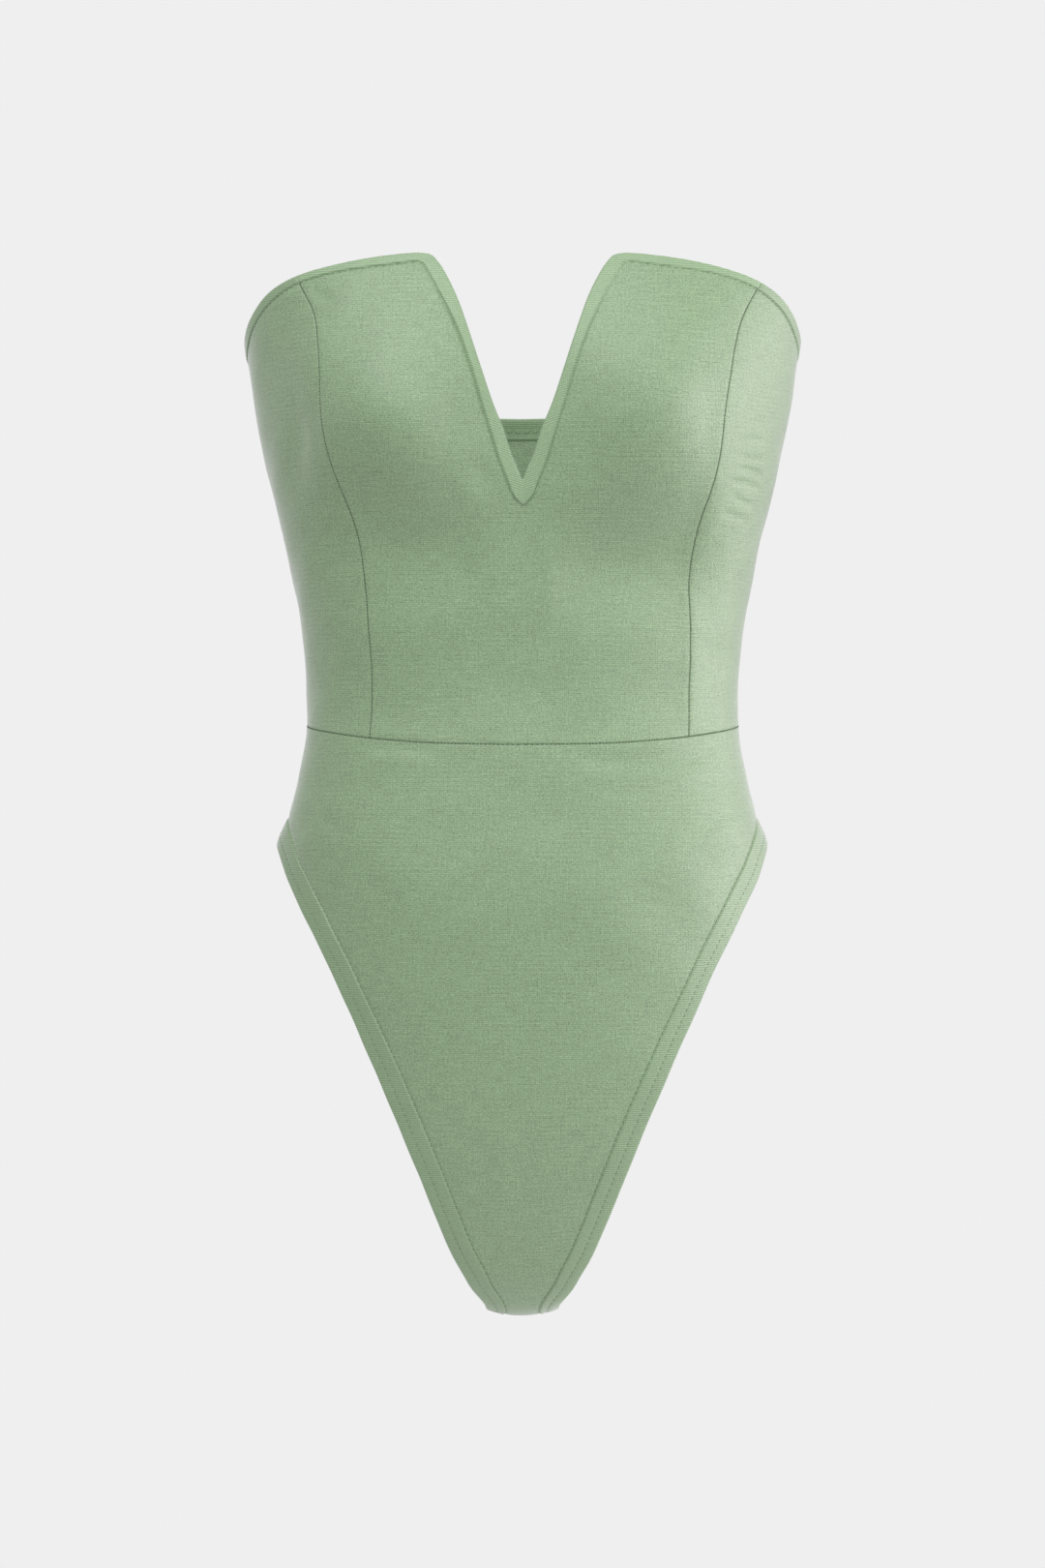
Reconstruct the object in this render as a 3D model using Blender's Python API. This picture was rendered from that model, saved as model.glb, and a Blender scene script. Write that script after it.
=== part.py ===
"""Strapless bodysuit with a V-notched top, as worn, with no wearer.

Every piece is cut and sewn cloth, built as a thin wall on one figure: level sections make the
torso, and one rounded bowl closes it below. Seam lines, hems and leg openings are curves on
that figure, and each piece is a patch between them.

Front faces -Y, up is +Z, the wearer's left is +X. Lengths are in millimetres up to the last
step, which writes metres. The origin is in the middle of the top edge's ring, at its sides.
"""

from collections import namedtuple

import bmesh
import bpy
import numpy as np

MM = 0.001

# ---------------------------------------------------------------- driving sizes
WALL = 1.5                # thickness of a single layer, with its sewn allowances
HEM_WALL = 2.4            # thickness of a turned hem over its elastic
HEM_RIM = 0.6             # share of that thickness at the hem's two edges
HEM_ROUND = 0.12          # share of a hem's width that its rounded edge takes
SEAM_GAP = 0.3            # clear space between two sewn pieces

HIP_LEVEL = -292.0        # height where the leg openings start, and the widest of the hips
HIP_BLEND = 1.0           # just below it, where the sections' widths have levelled off
BOWL_DEPTH = 274.5        # from there down to the lowest point
SECTION_POWER = 2.4       # of a level section: 2 is an ellipse, more is squarer
BOWL_POWER = 2.1          # the same, for the bowl from the side

HIP_FLARE = 4.6           # how far a leg hem's edge stands off the figure at the hip
HIP_FLARE_REACH = 62.0    # along the edge, where most of that has gone

BUST_ACROSS = 80.0        # apex, from the centre line
BUST_HEIGHT = -38.0
BUST_RISE = 23.0          # fullness that the princess seams and the cut give
BUST_SPREAD = 52.0        # across
BUST_SPREAD_ABOVE = 58.0
BUST_SPREAD_BELOW = 62.0
BUST_FADE = 0.22          # last share of the half width, where the fullness fades out

GUSSET_LIFT = 0.0074      # how the gusset's edges rise between the legs, per mm across squared
GUSSET_REACH = 50.0       # front and back of the crotch seam, where that ends
NORMAL_REACH = 0.01       # half the step that a normal is measured over
INSET_SHARES = 4          # steps in which a hem's line is moved in from its edge
SEAM_TRIES = 40           # steps to find where a princess seam meets a level line
SIDE_TURN = 90.0          # turn of the side seams
BACK_TURN = 180.0         # turn of the middle of the back

# ---------------------------------------------------------------- how finely each piece is cut
ROWS_BELOW_V = 10         # waist seam to the tip of the V's hem
COLUMNS_CENTRE = 8        # centre line to a princess seam
COLUMNS_SIDE = 4          # princess seam to a side seam
COLUMNS_BACK = 20         # side seam to side seam
ROWS_HIP = 5              # waist seam to the leg hem, along a side seam
HIP_ROW_RISE = 22.0       # how far the row that starts at the leg hem's top climbs from it
LEG_STEPS = 26            # side seam to crotch seam, along a leg hem
CURVE_POINTS = 128        # fine points of a curve before it is spaced out

# ---------------------------------------------------------------- tables
Section = namedtuple("Section", "height half_width front back")
SECTIONS = [
    Section(45.0, 165.0, 81.0, 92.0),
    Section(25.0, 164.0, 88.0, 97.0),
    Section(0.0, 161.0, 93.5, 102.0),
    Section(-40.0, 155.0, 97.0, 105.5),
    Section(-80.0, 147.0, 97.0, 104.0),
    Section(-120.0, 137.0, 94.0, 98.5),
    Section(-160.0, 129.2, 89.5, 92.0),
    Section(-200.0, 125.0, 86.5, 88.5),
    Section(-230.0, 125.8, 88.5, 92.0),
    Section(-255.0, 130.1, 92.3, 98.4),
    Section(-275.0, 135.2, 95.8, 103.5),
    Section(HIP_LEVEL, 137.6, 97.0, 105.5),
]

# The top edge outside the V: turn is the angle round the figure, 0 in front and 180 behind.
TopEdge = namedtuple("TopEdge", "turn height hem")
TOP_EDGE = [
    TopEdge(17.5, 42.7, 5.7),
    TopEdge(25.0, 40.8, 6.0),
    TopEdge(37.5, 36.4, 5.0),
    TopEdge(48.0, 31.4, 5.2),
    TopEdge(60.0, 23.2, 6.8),
    TopEdge(71.5, 12.0, 7.6),
    TopEdge(80.0, 4.5, 8.5),
    TopEdge(90.0, -1.5, 9.5),
    TopEdge(105.0, -10.5, 11.0),
    TopEdge(120.0, -19.0, 12.0),
    TopEdge(140.0, -28.0, 13.0),
    TopEdge(160.0, -33.0, 13.5),
    TopEdge(180.0, -34.5, 13.5),
]

# The V: its cut edge and the line where its hem ends, from the tip up to the cup's peak.
VNeck = namedtuple("VNeck", "edge_across edge_height line_across line_height steps")
V_NECK = [
    VNeck(0.0, -86.5, 0.0, -100.5, 1),
    VNeck(1.2, -84.0, 4.5, -96.5, 1),
    VNeck(3.2, -79.0, 8.4, -88.0, 1),
    VNeck(6.0, -72.5, 13.0, -77.0, 2),
    VNeck(10.9, -57.5, 17.8, -62.0, 1),
    VNeck(15.5, -46.5, 22.0, -49.0, 2),
    VNeck(23.2, -24.2, 28.8, -26.5, 2),
    VNeck(30.5, -1.5, 36.3, -4.5, 2),
    VNeck(37.3, 18.0, 44.5, 14.0, 1),
    VNeck(42.5, 28.8, 50.2, 25.0, 1),
    VNeck(47.0, 36.3, 54.0, 31.8, 1),
    VNeck(51.5, 41.3, 56.2, 35.4, 1),
    VNeck(58.0, 42.7, 59.5, 37.0, 0),
]

# Princess seams: distance from the centre line on the wearer's right and left.
Princess = namedtuple("Princess", "height right left")
PRINCESS = [
    Princess(36.0, 129.5, 140.0),
    Princess(26.0, 125.8, 134.0),
    Princess(9.0, 117.5, 125.0),
    Princess(-12.0, 114.0, 119.0),
    Princess(-48.0, 111.3, 113.4),
    Princess(-75.0, 106.7, 109.5),
    Princess(-110.0, 96.5, 100.5),
    Princess(-140.0, 90.0, 96.0),
    Princess(-175.0, 85.8, 94.0),
    Princess(-200.0, 84.8, 93.4),
    Princess(-236.0, 86.4, 94.0),
]

Waist = namedtuple("Waist", "turn height")
WAIST_SEAM = [
    Waist(0.0, -235.0),
    Waist(20.0, -234.0),
    Waist(40.0, -231.0),
    Waist(60.0, -227.3),
    Waist(90.0, -223.0),
    Waist(135.0, -224.5),
    Waist(180.0, -226.0),
]

# A leg opening's edge: over the gusset by how far forward it is, and up each flank by height.
Gusset = namedtuple("Gusset", "forward across")
GUSSET_EDGE = [
    Gusset(-19.0, 21.5),
    Gusset(-5.0, 20.8),
    Gusset(9.0, 21.0),
    Gusset(23.0, 22.2),
]
CROTCH_ROW = 1            # the row of GUSSET_EDGE that is on the crotch seam

Flank = namedtuple("Flank", "height across")
LEG_FRONT = [
    Flank(-552.5, 26.0),
    Flank(-547.6, 29.4),
    Flank(-540.3, 33.0),
    Flank(-528.5, 39.2),
    Flank(-483.0, 57.5),
    Flank(-438.3, 75.5),
    Flank(-394.4, 94.5),
    Flank(-350.4, 114.6),
    Flank(-323.6, 127.4),
    Flank(-312.7, 131.8),
    Flank(-305.0, 134.1),
    Flank(-298.5, 136.0),
    Flank(-294.0, 137.25),
]
LEG_BACK = [
    Flank(-294.0, 137.25),
    Flank(-298.5, 136.0),
    Flank(-306.0, 133.6),
    Flank(-317.5, 129.0),
    Flank(-343.0, 117.0),
    Flank(-385.0, 97.0),
    Flank(-432.0, 76.0),
    Flank(-480.0, 55.0),
    Flank(-520.0, 37.5),
    Flank(-545.0, 27.0),
]

# Width of a leg hem along its opening: share runs from the crotch seam to the side seam.
LegHem = namedtuple("LegHem", "share width")
LEG_HEM = [
    LegHem(0.0, 11.0),
    LegHem(0.15, 13.5),
    LegHem(0.4, 14.5),
    LegHem(0.75, 15.0),
    LegHem(0.9, 16.5),
    LegHem(1.0, 15.5),
]

SAGE = (0.291, 0.423, 0.258, 1.0)
SAGE_HEM = (0.274, 0.402, 0.243, 1.0)
CLOTH_ROUGHNESS = 0.72


# ---------------------------------------------------------------- smooth curves
def smooth(knots, values, at):
    """Read a smooth curve through values at knots; its ends level off."""
    knots = np.asarray(knots, float)
    values = np.asarray(values, float)
    slopes = np.gradient(values, knots, axis=0)
    at = np.clip(np.asarray(at, float), knots[0], knots[-1])
    cell = np.clip(np.searchsorted(knots, at, side="right") - 1, 0, len(knots) - 2)
    width = knots[cell + 1] - knots[cell]
    t = (at - knots[cell]) / width
    if values.ndim > 1:
        t = t[..., None]
        width = width[..., None]
    return ((2 * t**3 - 3 * t**2 + 1) * values[cell]
            + (t**3 - 2 * t**2 + t) * width * slopes[cell]
            + (3 * t**2 - 2 * t**3) * values[cell + 1]
            + (t**3 - t**2) * width * slopes[cell + 1])


def column(rows, name):
    return np.array([getattr(row, name) for row in rows], float)


def section(height, name):
    """Read one column of SECTIONS at any height; the hip keeps a level tangent."""
    rows = [SECTIONS[-1]._replace(height=HIP_LEVEL - HIP_BLEND)] + SECTIONS[::-1]
    return smooth(column(rows, "height"), column(rows, name), np.maximum(height, HIP_LEVEL))


def lengths(points):
    """Distance from the first point to each point, along the curve."""
    steps = np.linalg.norm(np.diff(points, axis=0), axis=1)
    return np.concatenate([[0.0], np.cumsum(steps)])


def spaced(points, count):
    """The same curve with count even steps."""
    run = lengths(points)
    at = np.linspace(0.0, run[-1], count + 1)
    return np.stack([np.interp(at, run, points[:, axis]) for axis in range(3)], axis=1)


# ---------------------------------------------------------------- the figure
def bust_fullness(x, z):
    spread = np.where(z > BUST_HEIGHT, BUST_SPREAD_ABOVE, BUST_SPREAD_BELOW)
    mound = np.exp(-((np.abs(x) - BUST_ACROSS) / BUST_SPREAD)**2 - ((z - BUST_HEIGHT) / spread)**2)
    share = np.clip((1 - np.abs(x) / section(z, "half_width")) / BUST_FADE, 0.0, 1.0)
    return BUST_RISE * mound * share**2 * (3 - 2 * share)


def gusset_lift(x, y):
    share = np.clip(1 - np.abs(y) / GUSSET_REACH, 0.0, 1.0)
    return GUSSET_LIFT * np.minimum(np.abs(x), GUSSET_REACH)**2 * share**2


def plain(points):
    """Take the bust's fullness and the gusset's lift off points near the figure."""
    x, y, z = points[..., 0], points[..., 1], points[..., 2]
    upper = z > HIP_LEVEL
    plain_y = np.where(upper & (y < 0), np.minimum(y + bust_fullness(x, z), 0.0), y)
    plain_z = np.where(upper, z, z - gusset_lift(x, y))
    return np.stack([x, plain_y, plain_z], axis=-1)


def gauge(points):
    """1 on the plain figure, less inside it and more outside."""
    x, y, z = points[..., 0], points[..., 1], points[..., 2]
    depth = np.where(y < 0, section(z, "front"), section(z, "back"))
    level = np.abs(x / section(z, "half_width"))**SECTION_POWER + np.abs(y / depth)**SECTION_POWER
    drop = np.abs(np.minimum(z - HIP_LEVEL, 0.0) / BOWL_DEPTH)**BOWL_POWER
    return (level**(BOWL_POWER / SECTION_POWER) + drop)**(1 / BOWL_POWER)


def settle(points):
    """Move points onto the figure: outwards at their own level, or from the bowl's centre."""
    base = plain(np.asarray(points, float))
    size = gauge(base)
    below = np.minimum(base[..., 2] - HIP_LEVEL, 0.0)
    x = base[..., 0] / size
    y = base[..., 1] / size
    z = base[..., 2] - below + below / size
    upper = z > HIP_LEVEL
    full_y = np.where(upper & (y < 0), y - bust_fullness(x, z), y)
    full_z = np.where(upper, z, z + gusset_lift(x, y))
    return np.stack([x, full_y, full_z], axis=-1)


def outward(points):
    """Unit normals of the figure at points on it."""
    slopes = []
    for axis in range(3):
        step = np.zeros(3)
        step[axis] = NORMAL_REACH
        slopes.append(gauge(plain(points + step)) - gauge(plain(points - step)))
    normal = np.stack(slopes, axis=-1)
    return normal / np.linalg.norm(normal, axis=-1, keepdims=True)


def at_turn(turn, height, side):
    """Points of the upper figure at an angle round it, on the wearer's left (1) or right (-1)."""
    turn = np.radians(np.asarray(turn, float))
    height = np.asarray(height, float) + np.zeros_like(turn)
    power = 2 / SECTION_POWER
    front = np.cos(turn) > 0
    depth = np.where(front, section(height, "front"), section(height, "back"))
    x = section(height, "half_width") * np.abs(np.sin(turn))**power
    y = -np.sign(np.cos(turn)) * depth * np.abs(np.cos(turn))**power
    fullness = np.where(front, bust_fullness(x, height), 0.0)
    return np.stack([side * x, y - fullness, height], axis=-1)


def in_front(across, height, side):
    """Points of the upper figure's front, by their distance from the centre line."""
    across = np.asarray(across, float)
    height = np.asarray(height, float)
    guess = np.stack([side * across, 0 * across, height], axis=-1)
    width = np.abs(across) / section(height, "half_width")
    flat = section(height, "front") * (1 - width**SECTION_POWER)**(1 / SECTION_POWER)
    guess[..., 1] = -flat - bust_fullness(across, height)
    return guess


# ---------------------------------------------------------------- seam and edge lines
def top_height(turn, hem=False):
    """Height of the top edge at a turn, or of the line where its hem ends."""
    turns = column(TOP_EDGE, "turn")
    edge = smooth(turns, column(TOP_EDGE, "height"), turn)
    return edge - smooth(turns, column(TOP_EDGE, "hem"), turn) if hem else edge


def waist_height(turn):
    return smooth(column(WAIST_SEAM, "turn"), column(WAIST_SEAM, "height"), turn)


def turn_of(across, height):
    share = np.clip(np.abs(across) / section(height, "half_width"), 0.0, 1.0)
    return np.degrees(np.arcsin(share**(SECTION_POWER / 2)))


def princess_across(height, side):
    rows = PRINCESS[::-1]
    name = "left" if side > 0 else "right"
    return smooth(column(rows, "height"), column(rows, name), height)


def princess_turn(side, line):
    """The turn at which a princess seam meets a level line, such as the waist seam."""
    turn = SIDE_TURN / 2
    for _ in range(SEAM_TRIES):
        height = line(turn)
        turn = 0.5 * turn + 0.5 * float(turn_of(princess_across(height, side), height))
    return turn


def princess_seam(side, count):
    low = waist_height(princess_turn(side, waist_height))
    high = top_height(princess_turn(side, lambda turn: top_height(turn, hem=True)), hem=True)
    height = np.linspace(low, high, CURVE_POINTS)
    return settle(spaced(in_front(princess_across(height, side), height, side), count))


def side_seam(side, low, high, count):
    height = np.linspace(low, high, count + 1)
    return at_turn(np.full(count + 1, SIDE_TURN), height, side)


def v_lines(side):
    """The V's cut edge and its hem's line, from the tip to the peak, station by station."""
    edge = in_front(column(V_NECK, "edge_across"), column(V_NECK, "edge_height"), side)
    line = in_front(column(V_NECK, "line_across"), column(V_NECK, "line_height"), side)
    knots = lengths((edge + line) / 2)
    stations = [knots[0]]
    for row, start, end in zip(V_NECK, knots[:-1], knots[1:]):
        stations.extend(start + (end - start) * (step + 1) / row.steps for step in range(row.steps))
    return settle(smooth(knots, edge, stations)), settle(smooth(knots, line, stations))


def top_lines(side, first, last, count):
    """The top edge and its hem's line between two pairs of turns."""
    edge_turn = np.linspace(first[0], last[0], count + 1)
    line_turn = np.linspace(first[1], last[1], count + 1)
    return (at_turn(edge_turn, top_height(edge_turn), side),
            at_turn(line_turn, top_height(line_turn, hem=True), side))


def waist_line(side, turns):
    return at_turn(turns, waist_height(turns), side)


def hip_line(side, turns, start):
    """A row of a lower panel: it leaves the side seam at start, halfway between seam and hem."""
    away = np.abs(at_turn(turns, start, side)[:, 1])
    rise = HIP_ROW_RISE * (1 - np.exp(-away / HIP_ROW_RISE))
    return at_turn(turns, start + rise, side)


def inset(points, distance):
    """Move an edge curve into its cloth: to the left of its run, seen from outside."""
    moved = points
    for _ in range(INSET_SHARES):
        run = np.gradient(moved, lengths(moved), axis=0)
        across = np.cross(outward(moved), run)
        across /= np.linalg.norm(across, axis=1, keepdims=True)
        moved = settle(moved + across * distance[:, None] / INSET_SHARES)
    return moved


def flank_points(rows, side, face):
    """Points of the bowl by height and distance across; face is -1 in front and 1 behind."""
    across = column(rows, "across")
    height = column(rows, "height")
    depth = SECTIONS[-1].front if face < 0 else SECTIONS[-1].back
    level = (1 - ((HIP_LEVEL - height) / BOWL_DEPTH)**BOWL_POWER)**(SECTION_POWER / BOWL_POWER)
    left_over = level - (across / SECTIONS[-1].half_width)**SECTION_POWER
    return np.stack([side * across, face * depth * left_over**(1 / SECTION_POWER), height], axis=1)


def gusset_points(rows, side):
    """Points of the bowl's floor by how far forward and across they are."""
    across = column(rows, "across")
    forward = column(rows, "forward")
    depth = np.where(forward > 0, SECTIONS[-1].front, SECTIONS[-1].back)
    level = ((across / SECTIONS[-1].half_width)**SECTION_POWER
             + np.abs(forward / depth)**SECTION_POWER)
    left_over = 1 - level**(BOWL_POWER / SECTION_POWER)
    height = HIP_LEVEL - BOWL_DEPTH * left_over**(1 / BOWL_POWER)
    return np.stack([side * across, -forward, height + gusset_lift(across, forward)], axis=1)


def leg_lines(side):
    """A leg opening's edge and hem line, crotch to hip in front and hip to crotch behind."""
    gusset = gusset_points(GUSSET_EDGE, side)
    hip_point = np.array([[side * SECTIONS[-1].half_width, 0.0, HIP_LEVEL]])
    loop = np.concatenate([gusset[CROTCH_ROW:], flank_points(LEG_FRONT, side, -1), hip_point,
                           flank_points(LEG_BACK, side, 1), gusset[:CROTCH_ROW]])
    table = settle(np.concatenate([loop[-2:], loop, loop[:3]]))
    knots = lengths(table)
    crotch = knots[2]
    hip = knots[2 + len(gusset) - CROTCH_ROW + len(LEG_FRONT)]
    end = knots[2 + len(loop)]
    front = settle(smooth(knots, table, np.linspace(crotch, hip, CURVE_POINTS)))
    back = settle(smooth(knots, table, np.linspace(hip, end, CURVE_POINTS)))
    edge = settle(np.concatenate([spaced(front, LEG_STEPS), spaced(back, LEG_STEPS)[1:]]))
    up = np.linspace(0.0, 1.0, LEG_STEPS + 1)
    width = smooth(column(LEG_HEM, "share"), column(LEG_HEM, "width"), up)
    width = np.concatenate([width, width[-2::-1]])
    ring = np.concatenate([edge[-3:-1], edge, edge[1:3]])
    width = np.concatenate([width[-3:-1], width, width[1:3]])
    line = inset(ring, side * width)[2:-2]
    line[LEG_STEPS, 1] = 0.0
    line[LEG_STEPS] = settle(line[LEG_STEPS])
    line[-1] = line[0]
    return ((edge[:LEG_STEPS + 1], line[:LEG_STEPS + 1]),
            (edge[LEG_STEPS:], line[LEG_STEPS:]))


# ---------------------------------------------------------------- patches
def patch(low, high, left, right):
    """A grid on the figure between four curves; rows run from low to high."""
    u = np.linspace(0.0, 1.0, len(low))[None, :, None]
    v = np.linspace(0.0, 1.0, len(left))[:, None, None]
    across = (1 - v) * low[None] + v * high[None]
    up = (1 - u) * left[:, None] + u * right[:, None]
    corners = ((1 - u) * (1 - v) * low[0] + u * (1 - v) * low[-1]
               + (1 - u) * v * high[0] + u * v * high[-1])
    grid = settle(across + up - corners)
    grid[0] = low
    grid[-1] = high
    grid[:, 0] = left
    grid[:, -1] = right
    return grid


def trimmed(grid, low=0.0, high=0.0, left=0.0, right=0.0):
    """Draw a grid's sides in along the cloth, by the distance given for each."""
    normal = outward(grid)
    run_up = np.gradient(grid, axis=0)
    run_across = np.gradient(grid, axis=1)
    into_right = np.cross(run_up, normal)
    into_high = np.cross(normal, run_across)
    into_right *= np.sign(np.sum(into_right * run_across, axis=-1, keepdims=True))
    into_high *= np.sign(np.sum(into_high * run_up, axis=-1, keepdims=True))
    into_right /= np.linalg.norm(into_right, axis=-1, keepdims=True)
    into_high /= np.linalg.norm(into_high, axis=-1, keepdims=True)
    moved = grid.copy()
    moved[:, 0] += np.reshape(left, (-1, 1)) * into_right[:, 0]
    moved[:, -1] -= np.reshape(right, (-1, 1)) * into_right[:, -1]
    moved[0] += low * into_high[0]
    moved[-1] -= high * into_high[-1]
    return moved


def hem_grid(edge, line, flare=0.0):
    """A hem strip, one row for each station, from its line to the cut edge."""
    shares = np.array([0.0, HEM_ROUND, 0.5, 1 - HEM_ROUND, 1.0])[None, :, None]
    grid = settle(line[:, None] * (1 - shares) + edge[:, None] * shares)
    grid = trimmed(grid, low=SEAM_GAP / 2, high=SEAM_GAP / 2, left=SEAM_GAP)
    return grid + outward(grid) * shares * np.reshape(flare, (-1, 1, 1))


# ---------------------------------------------------------------- solids
def material(name, colour):
    made = bpy.data.materials.new(name)
    made.use_nodes = True
    shader = made.node_tree.nodes["Principled BSDF"]
    shader.inputs["Base Color"].default_value = colour
    shader.inputs["Roughness"].default_value = CLOTH_ROUGHNESS
    shader.inputs["Metallic"].default_value = 0.0
    made.diffuse_color = colour
    return made


def add_sheet(bm, layer, grid, thickness):
    """Add the inner face of a wall, and remember how far each point goes out."""
    normal = outward(grid)
    thick = np.broadcast_to(thickness, grid.shape[:2])[..., None]
    inner = (grid - normal * thick / 2) * MM
    reach = normal * thick * MM
    points = []
    for row in range(grid.shape[0]):
        points.append([bm.verts.new(co) for co in inner[row]])
        for vert, vector in zip(points[-1], reach[row]):
            vert[layer] = vector
    for lower, upper in zip(points[:-1], points[1:]):
        for k in range(len(lower) - 1):
            bm.faces.new((lower[k], lower[k + 1], upper[k + 1], upper[k]))


def cloth(name, grids, thickness, colour):
    """Make one piece: its grids joined where they meet, and thickened outwards."""
    bm = bmesh.new()
    layer = bm.verts.layers.float_vector.new("reach")
    for grid in grids:
        add_sheet(bm, layer, grid, thickness)
    bmesh.ops.remove_doubles(bm, verts=bm.verts, dist=1e-5)
    wall = bmesh.ops.extrude_face_region(bm, geom=bm.faces[:])
    for vert in (item for item in wall["geom"] if isinstance(item, bmesh.types.BMVert)):
        vert.co += vert[layer]
    bmesh.ops.recalc_face_normals(bm, faces=bm.faces)
    mesh = bpy.data.meshes.new(name)
    bm.to_mesh(mesh)
    bm.free()
    mesh.shade_smooth()
    mesh.set_sharp_from_angle(angle=np.radians(40.0))
    mesh.materials.append(material(name, colour))
    piece = bpy.data.objects.new(name, mesh)
    bpy.context.scene.collection.objects.link(piece)
    return piece


def panel(name, *grids):
    return cloth(name, grids, WALL, SAGE)


def hem(name, *grids):
    profile = HEM_WALL * np.array([HEM_RIM, 1.0, 1.0, 1.0, HEM_RIM])[None, :]
    return cloth(name, grids, profile, SAGE_HEM)


def mirrored_run(right, left):
    """Join a curve on the wearer's right to its partner on the left, through the centre."""
    return np.concatenate([right[::-1], left[1:]])


# ---------------------------------------------------------------- the garment
class Lines:
    """Every seam, hem line and edge that the pieces share, for both sides."""

    def __init__(self):
        self.rows = ROWS_BELOW_V + sum(row.steps for row in V_NECK)
        self.princess = {}
        self.waist_turn = {}
        self.edge_turn = {}
        self.line_turn = {}
        self.leg = {}
        for side in (-1, 1):
            self.princess[side] = princess_seam(side, self.rows)
            self.waist_turn[side] = princess_turn(side, waist_height)
            self.edge_turn[side] = princess_turn(side, top_height)
            self.line_turn[side] = princess_turn(side, lambda turn: top_height(turn, hem=True))
            self.leg[side] = leg_lines(side)

    def peak_turns(self):
        peak = V_NECK[-1]
        return (float(turn_of(peak.edge_across, peak.edge_height)),
                float(turn_of(peak.line_across, peak.line_height)))

    def front_top(self, side):
        """Edge and hem line of the centre front, from the V's tip to the princess seam."""
        v_edge, v_line = v_lines(side)
        seam = (self.edge_turn[side], self.line_turn[side])
        edge, line = top_lines(side, self.peak_turns(), seam, COLUMNS_CENTRE)
        return v_edge, v_line, edge, line

    def side_top(self, side):
        seam = (self.edge_turn[side], self.line_turn[side])
        return top_lines(side, seam, (SIDE_TURN, SIDE_TURN), COLUMNS_SIDE)

    def back_top(self):
        right = top_lines(-1, (SIDE_TURN, SIDE_TURN), (BACK_TURN, BACK_TURN), COLUMNS_BACK // 2)
        left = top_lines(1, (SIDE_TURN, SIDE_TURN), (BACK_TURN, BACK_TURN), COLUMNS_BACK // 2)
        return [np.concatenate([r, l[-2::-1]]) for r, l in zip(right, left)]

    def centre_turns(self, side):
        return np.linspace(0.0, self.waist_turn[side], COLUMNS_CENTRE + 1)

    def side_turns(self, side):
        return np.linspace(self.waist_turn[side], SIDE_TURN, COLUMNS_SIDE + 1)

    def side_upper(self, side):
        return side_seam(side, waist_height(SIDE_TURN), top_height(SIDE_TURN, hem=True), self.rows)

    def hip_height(self, side):
        """Height of a leg hem's line at the side seam."""
        return self.leg[side][0][1][-1][2]

    def side_lower(self, side):
        return side_seam(side, self.hip_height(side), waist_height(SIDE_TURN), ROWS_HIP)

    def front_row(self, level):
        """A row right across the front; level gives one side's points at its turns."""
        sides = []
        for side in (-1, 1):
            turns = np.concatenate([self.centre_turns(side), self.side_turns(side)[1:]])
            sides.append(level(side, turns))
        return mirrored_run(*sides)

    def back_row(self, level):
        turns = np.linspace(SIDE_TURN, BACK_TURN, COLUMNS_BACK // 2 + 1)
        return np.concatenate([level(-1, turns), level(1, turns)[-2::-1]])

    def hip_row(self, side, turns):
        return hip_line(side, turns, self.hip_height(side))


def build_front_centre(lines):
    half = SEAM_GAP / 2
    grids = []
    hems = []
    for side in (-1, 1):
        v_edge, v_line, edge, line = lines.front_top(side)
        waist = waist_line(side, lines.centre_turns(side))
        height = np.linspace(waist[0][2], v_line[0][2], ROWS_BELOW_V + 1)
        centre = np.concatenate([in_front(0 * height, height, side), v_line[1:]])
        grid = patch(waist, line, centre, lines.princess[side])
        grids.append(trimmed(grid, low=half, right=half))
        hems.append((np.concatenate([v_edge, edge[1:]]), np.concatenate([v_line, line[1:]])))
    panel("front_centre_panel", *grids)
    edge = mirrored_run(hems[0][0], hems[1][0])
    line = mirrored_run(hems[0][1], hems[1][1])
    hem("front_neckline_hem", hem_grid(edge, line))


def build_front_side(lines, side, name):
    half = SEAM_GAP / 2
    edge, line = lines.side_top(side)
    waist = waist_line(side, lines.side_turns(side))
    grid = patch(waist, line, lines.princess[side], lines.side_upper(side))
    panel("front_side_panel_" + name, trimmed(grid, low=half, left=half, right=half))
    hem("side_neckline_hem_" + name, hem_grid(edge, line))


def build_back_upper(lines):
    half = SEAM_GAP / 2
    edge, line = lines.back_top()
    waist = lines.back_row(waist_line)
    grid = patch(waist, line, lines.side_upper(-1), lines.side_upper(1))
    panel("back_upper_panel", trimmed(grid, low=half, left=half, right=half))
    hem("back_neckline_hem", hem_grid(edge, line))


def crotch_line(lines, count):
    """The crotch seam between the two leg hems, seen along the front."""
    right = lines.leg[-1][0][1][0]
    left = lines.leg[1][0][1][0]
    share = np.linspace(0.0, 1.0, count + 1)[:, None]
    return settle(right * (1 - share) + left * share)


def build_lower(lines, name, waist, hip, back):
    """A lower panel: crotch seam to the row at the hips, then that row to the waist seam."""
    half = SEAM_GAP / 2
    hems = [lines.leg[side][1][1][::-1] if back else lines.leg[side][0][1] for side in (-1, 1)]
    seams = [lines.side_lower(side) for side in (-1, 1)]
    below = patch(crotch_line(lines, len(hip) - 1), hip, *hems)
    above = patch(hip, waist, *seams)
    side = np.concatenate([np.zeros(LEG_STEPS), np.full(ROWS_HIP + 1, half)])
    grid = np.concatenate([below, above[1:]])
    panel(name, trimmed(grid, low=half, high=half, left=side, right=side))


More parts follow.
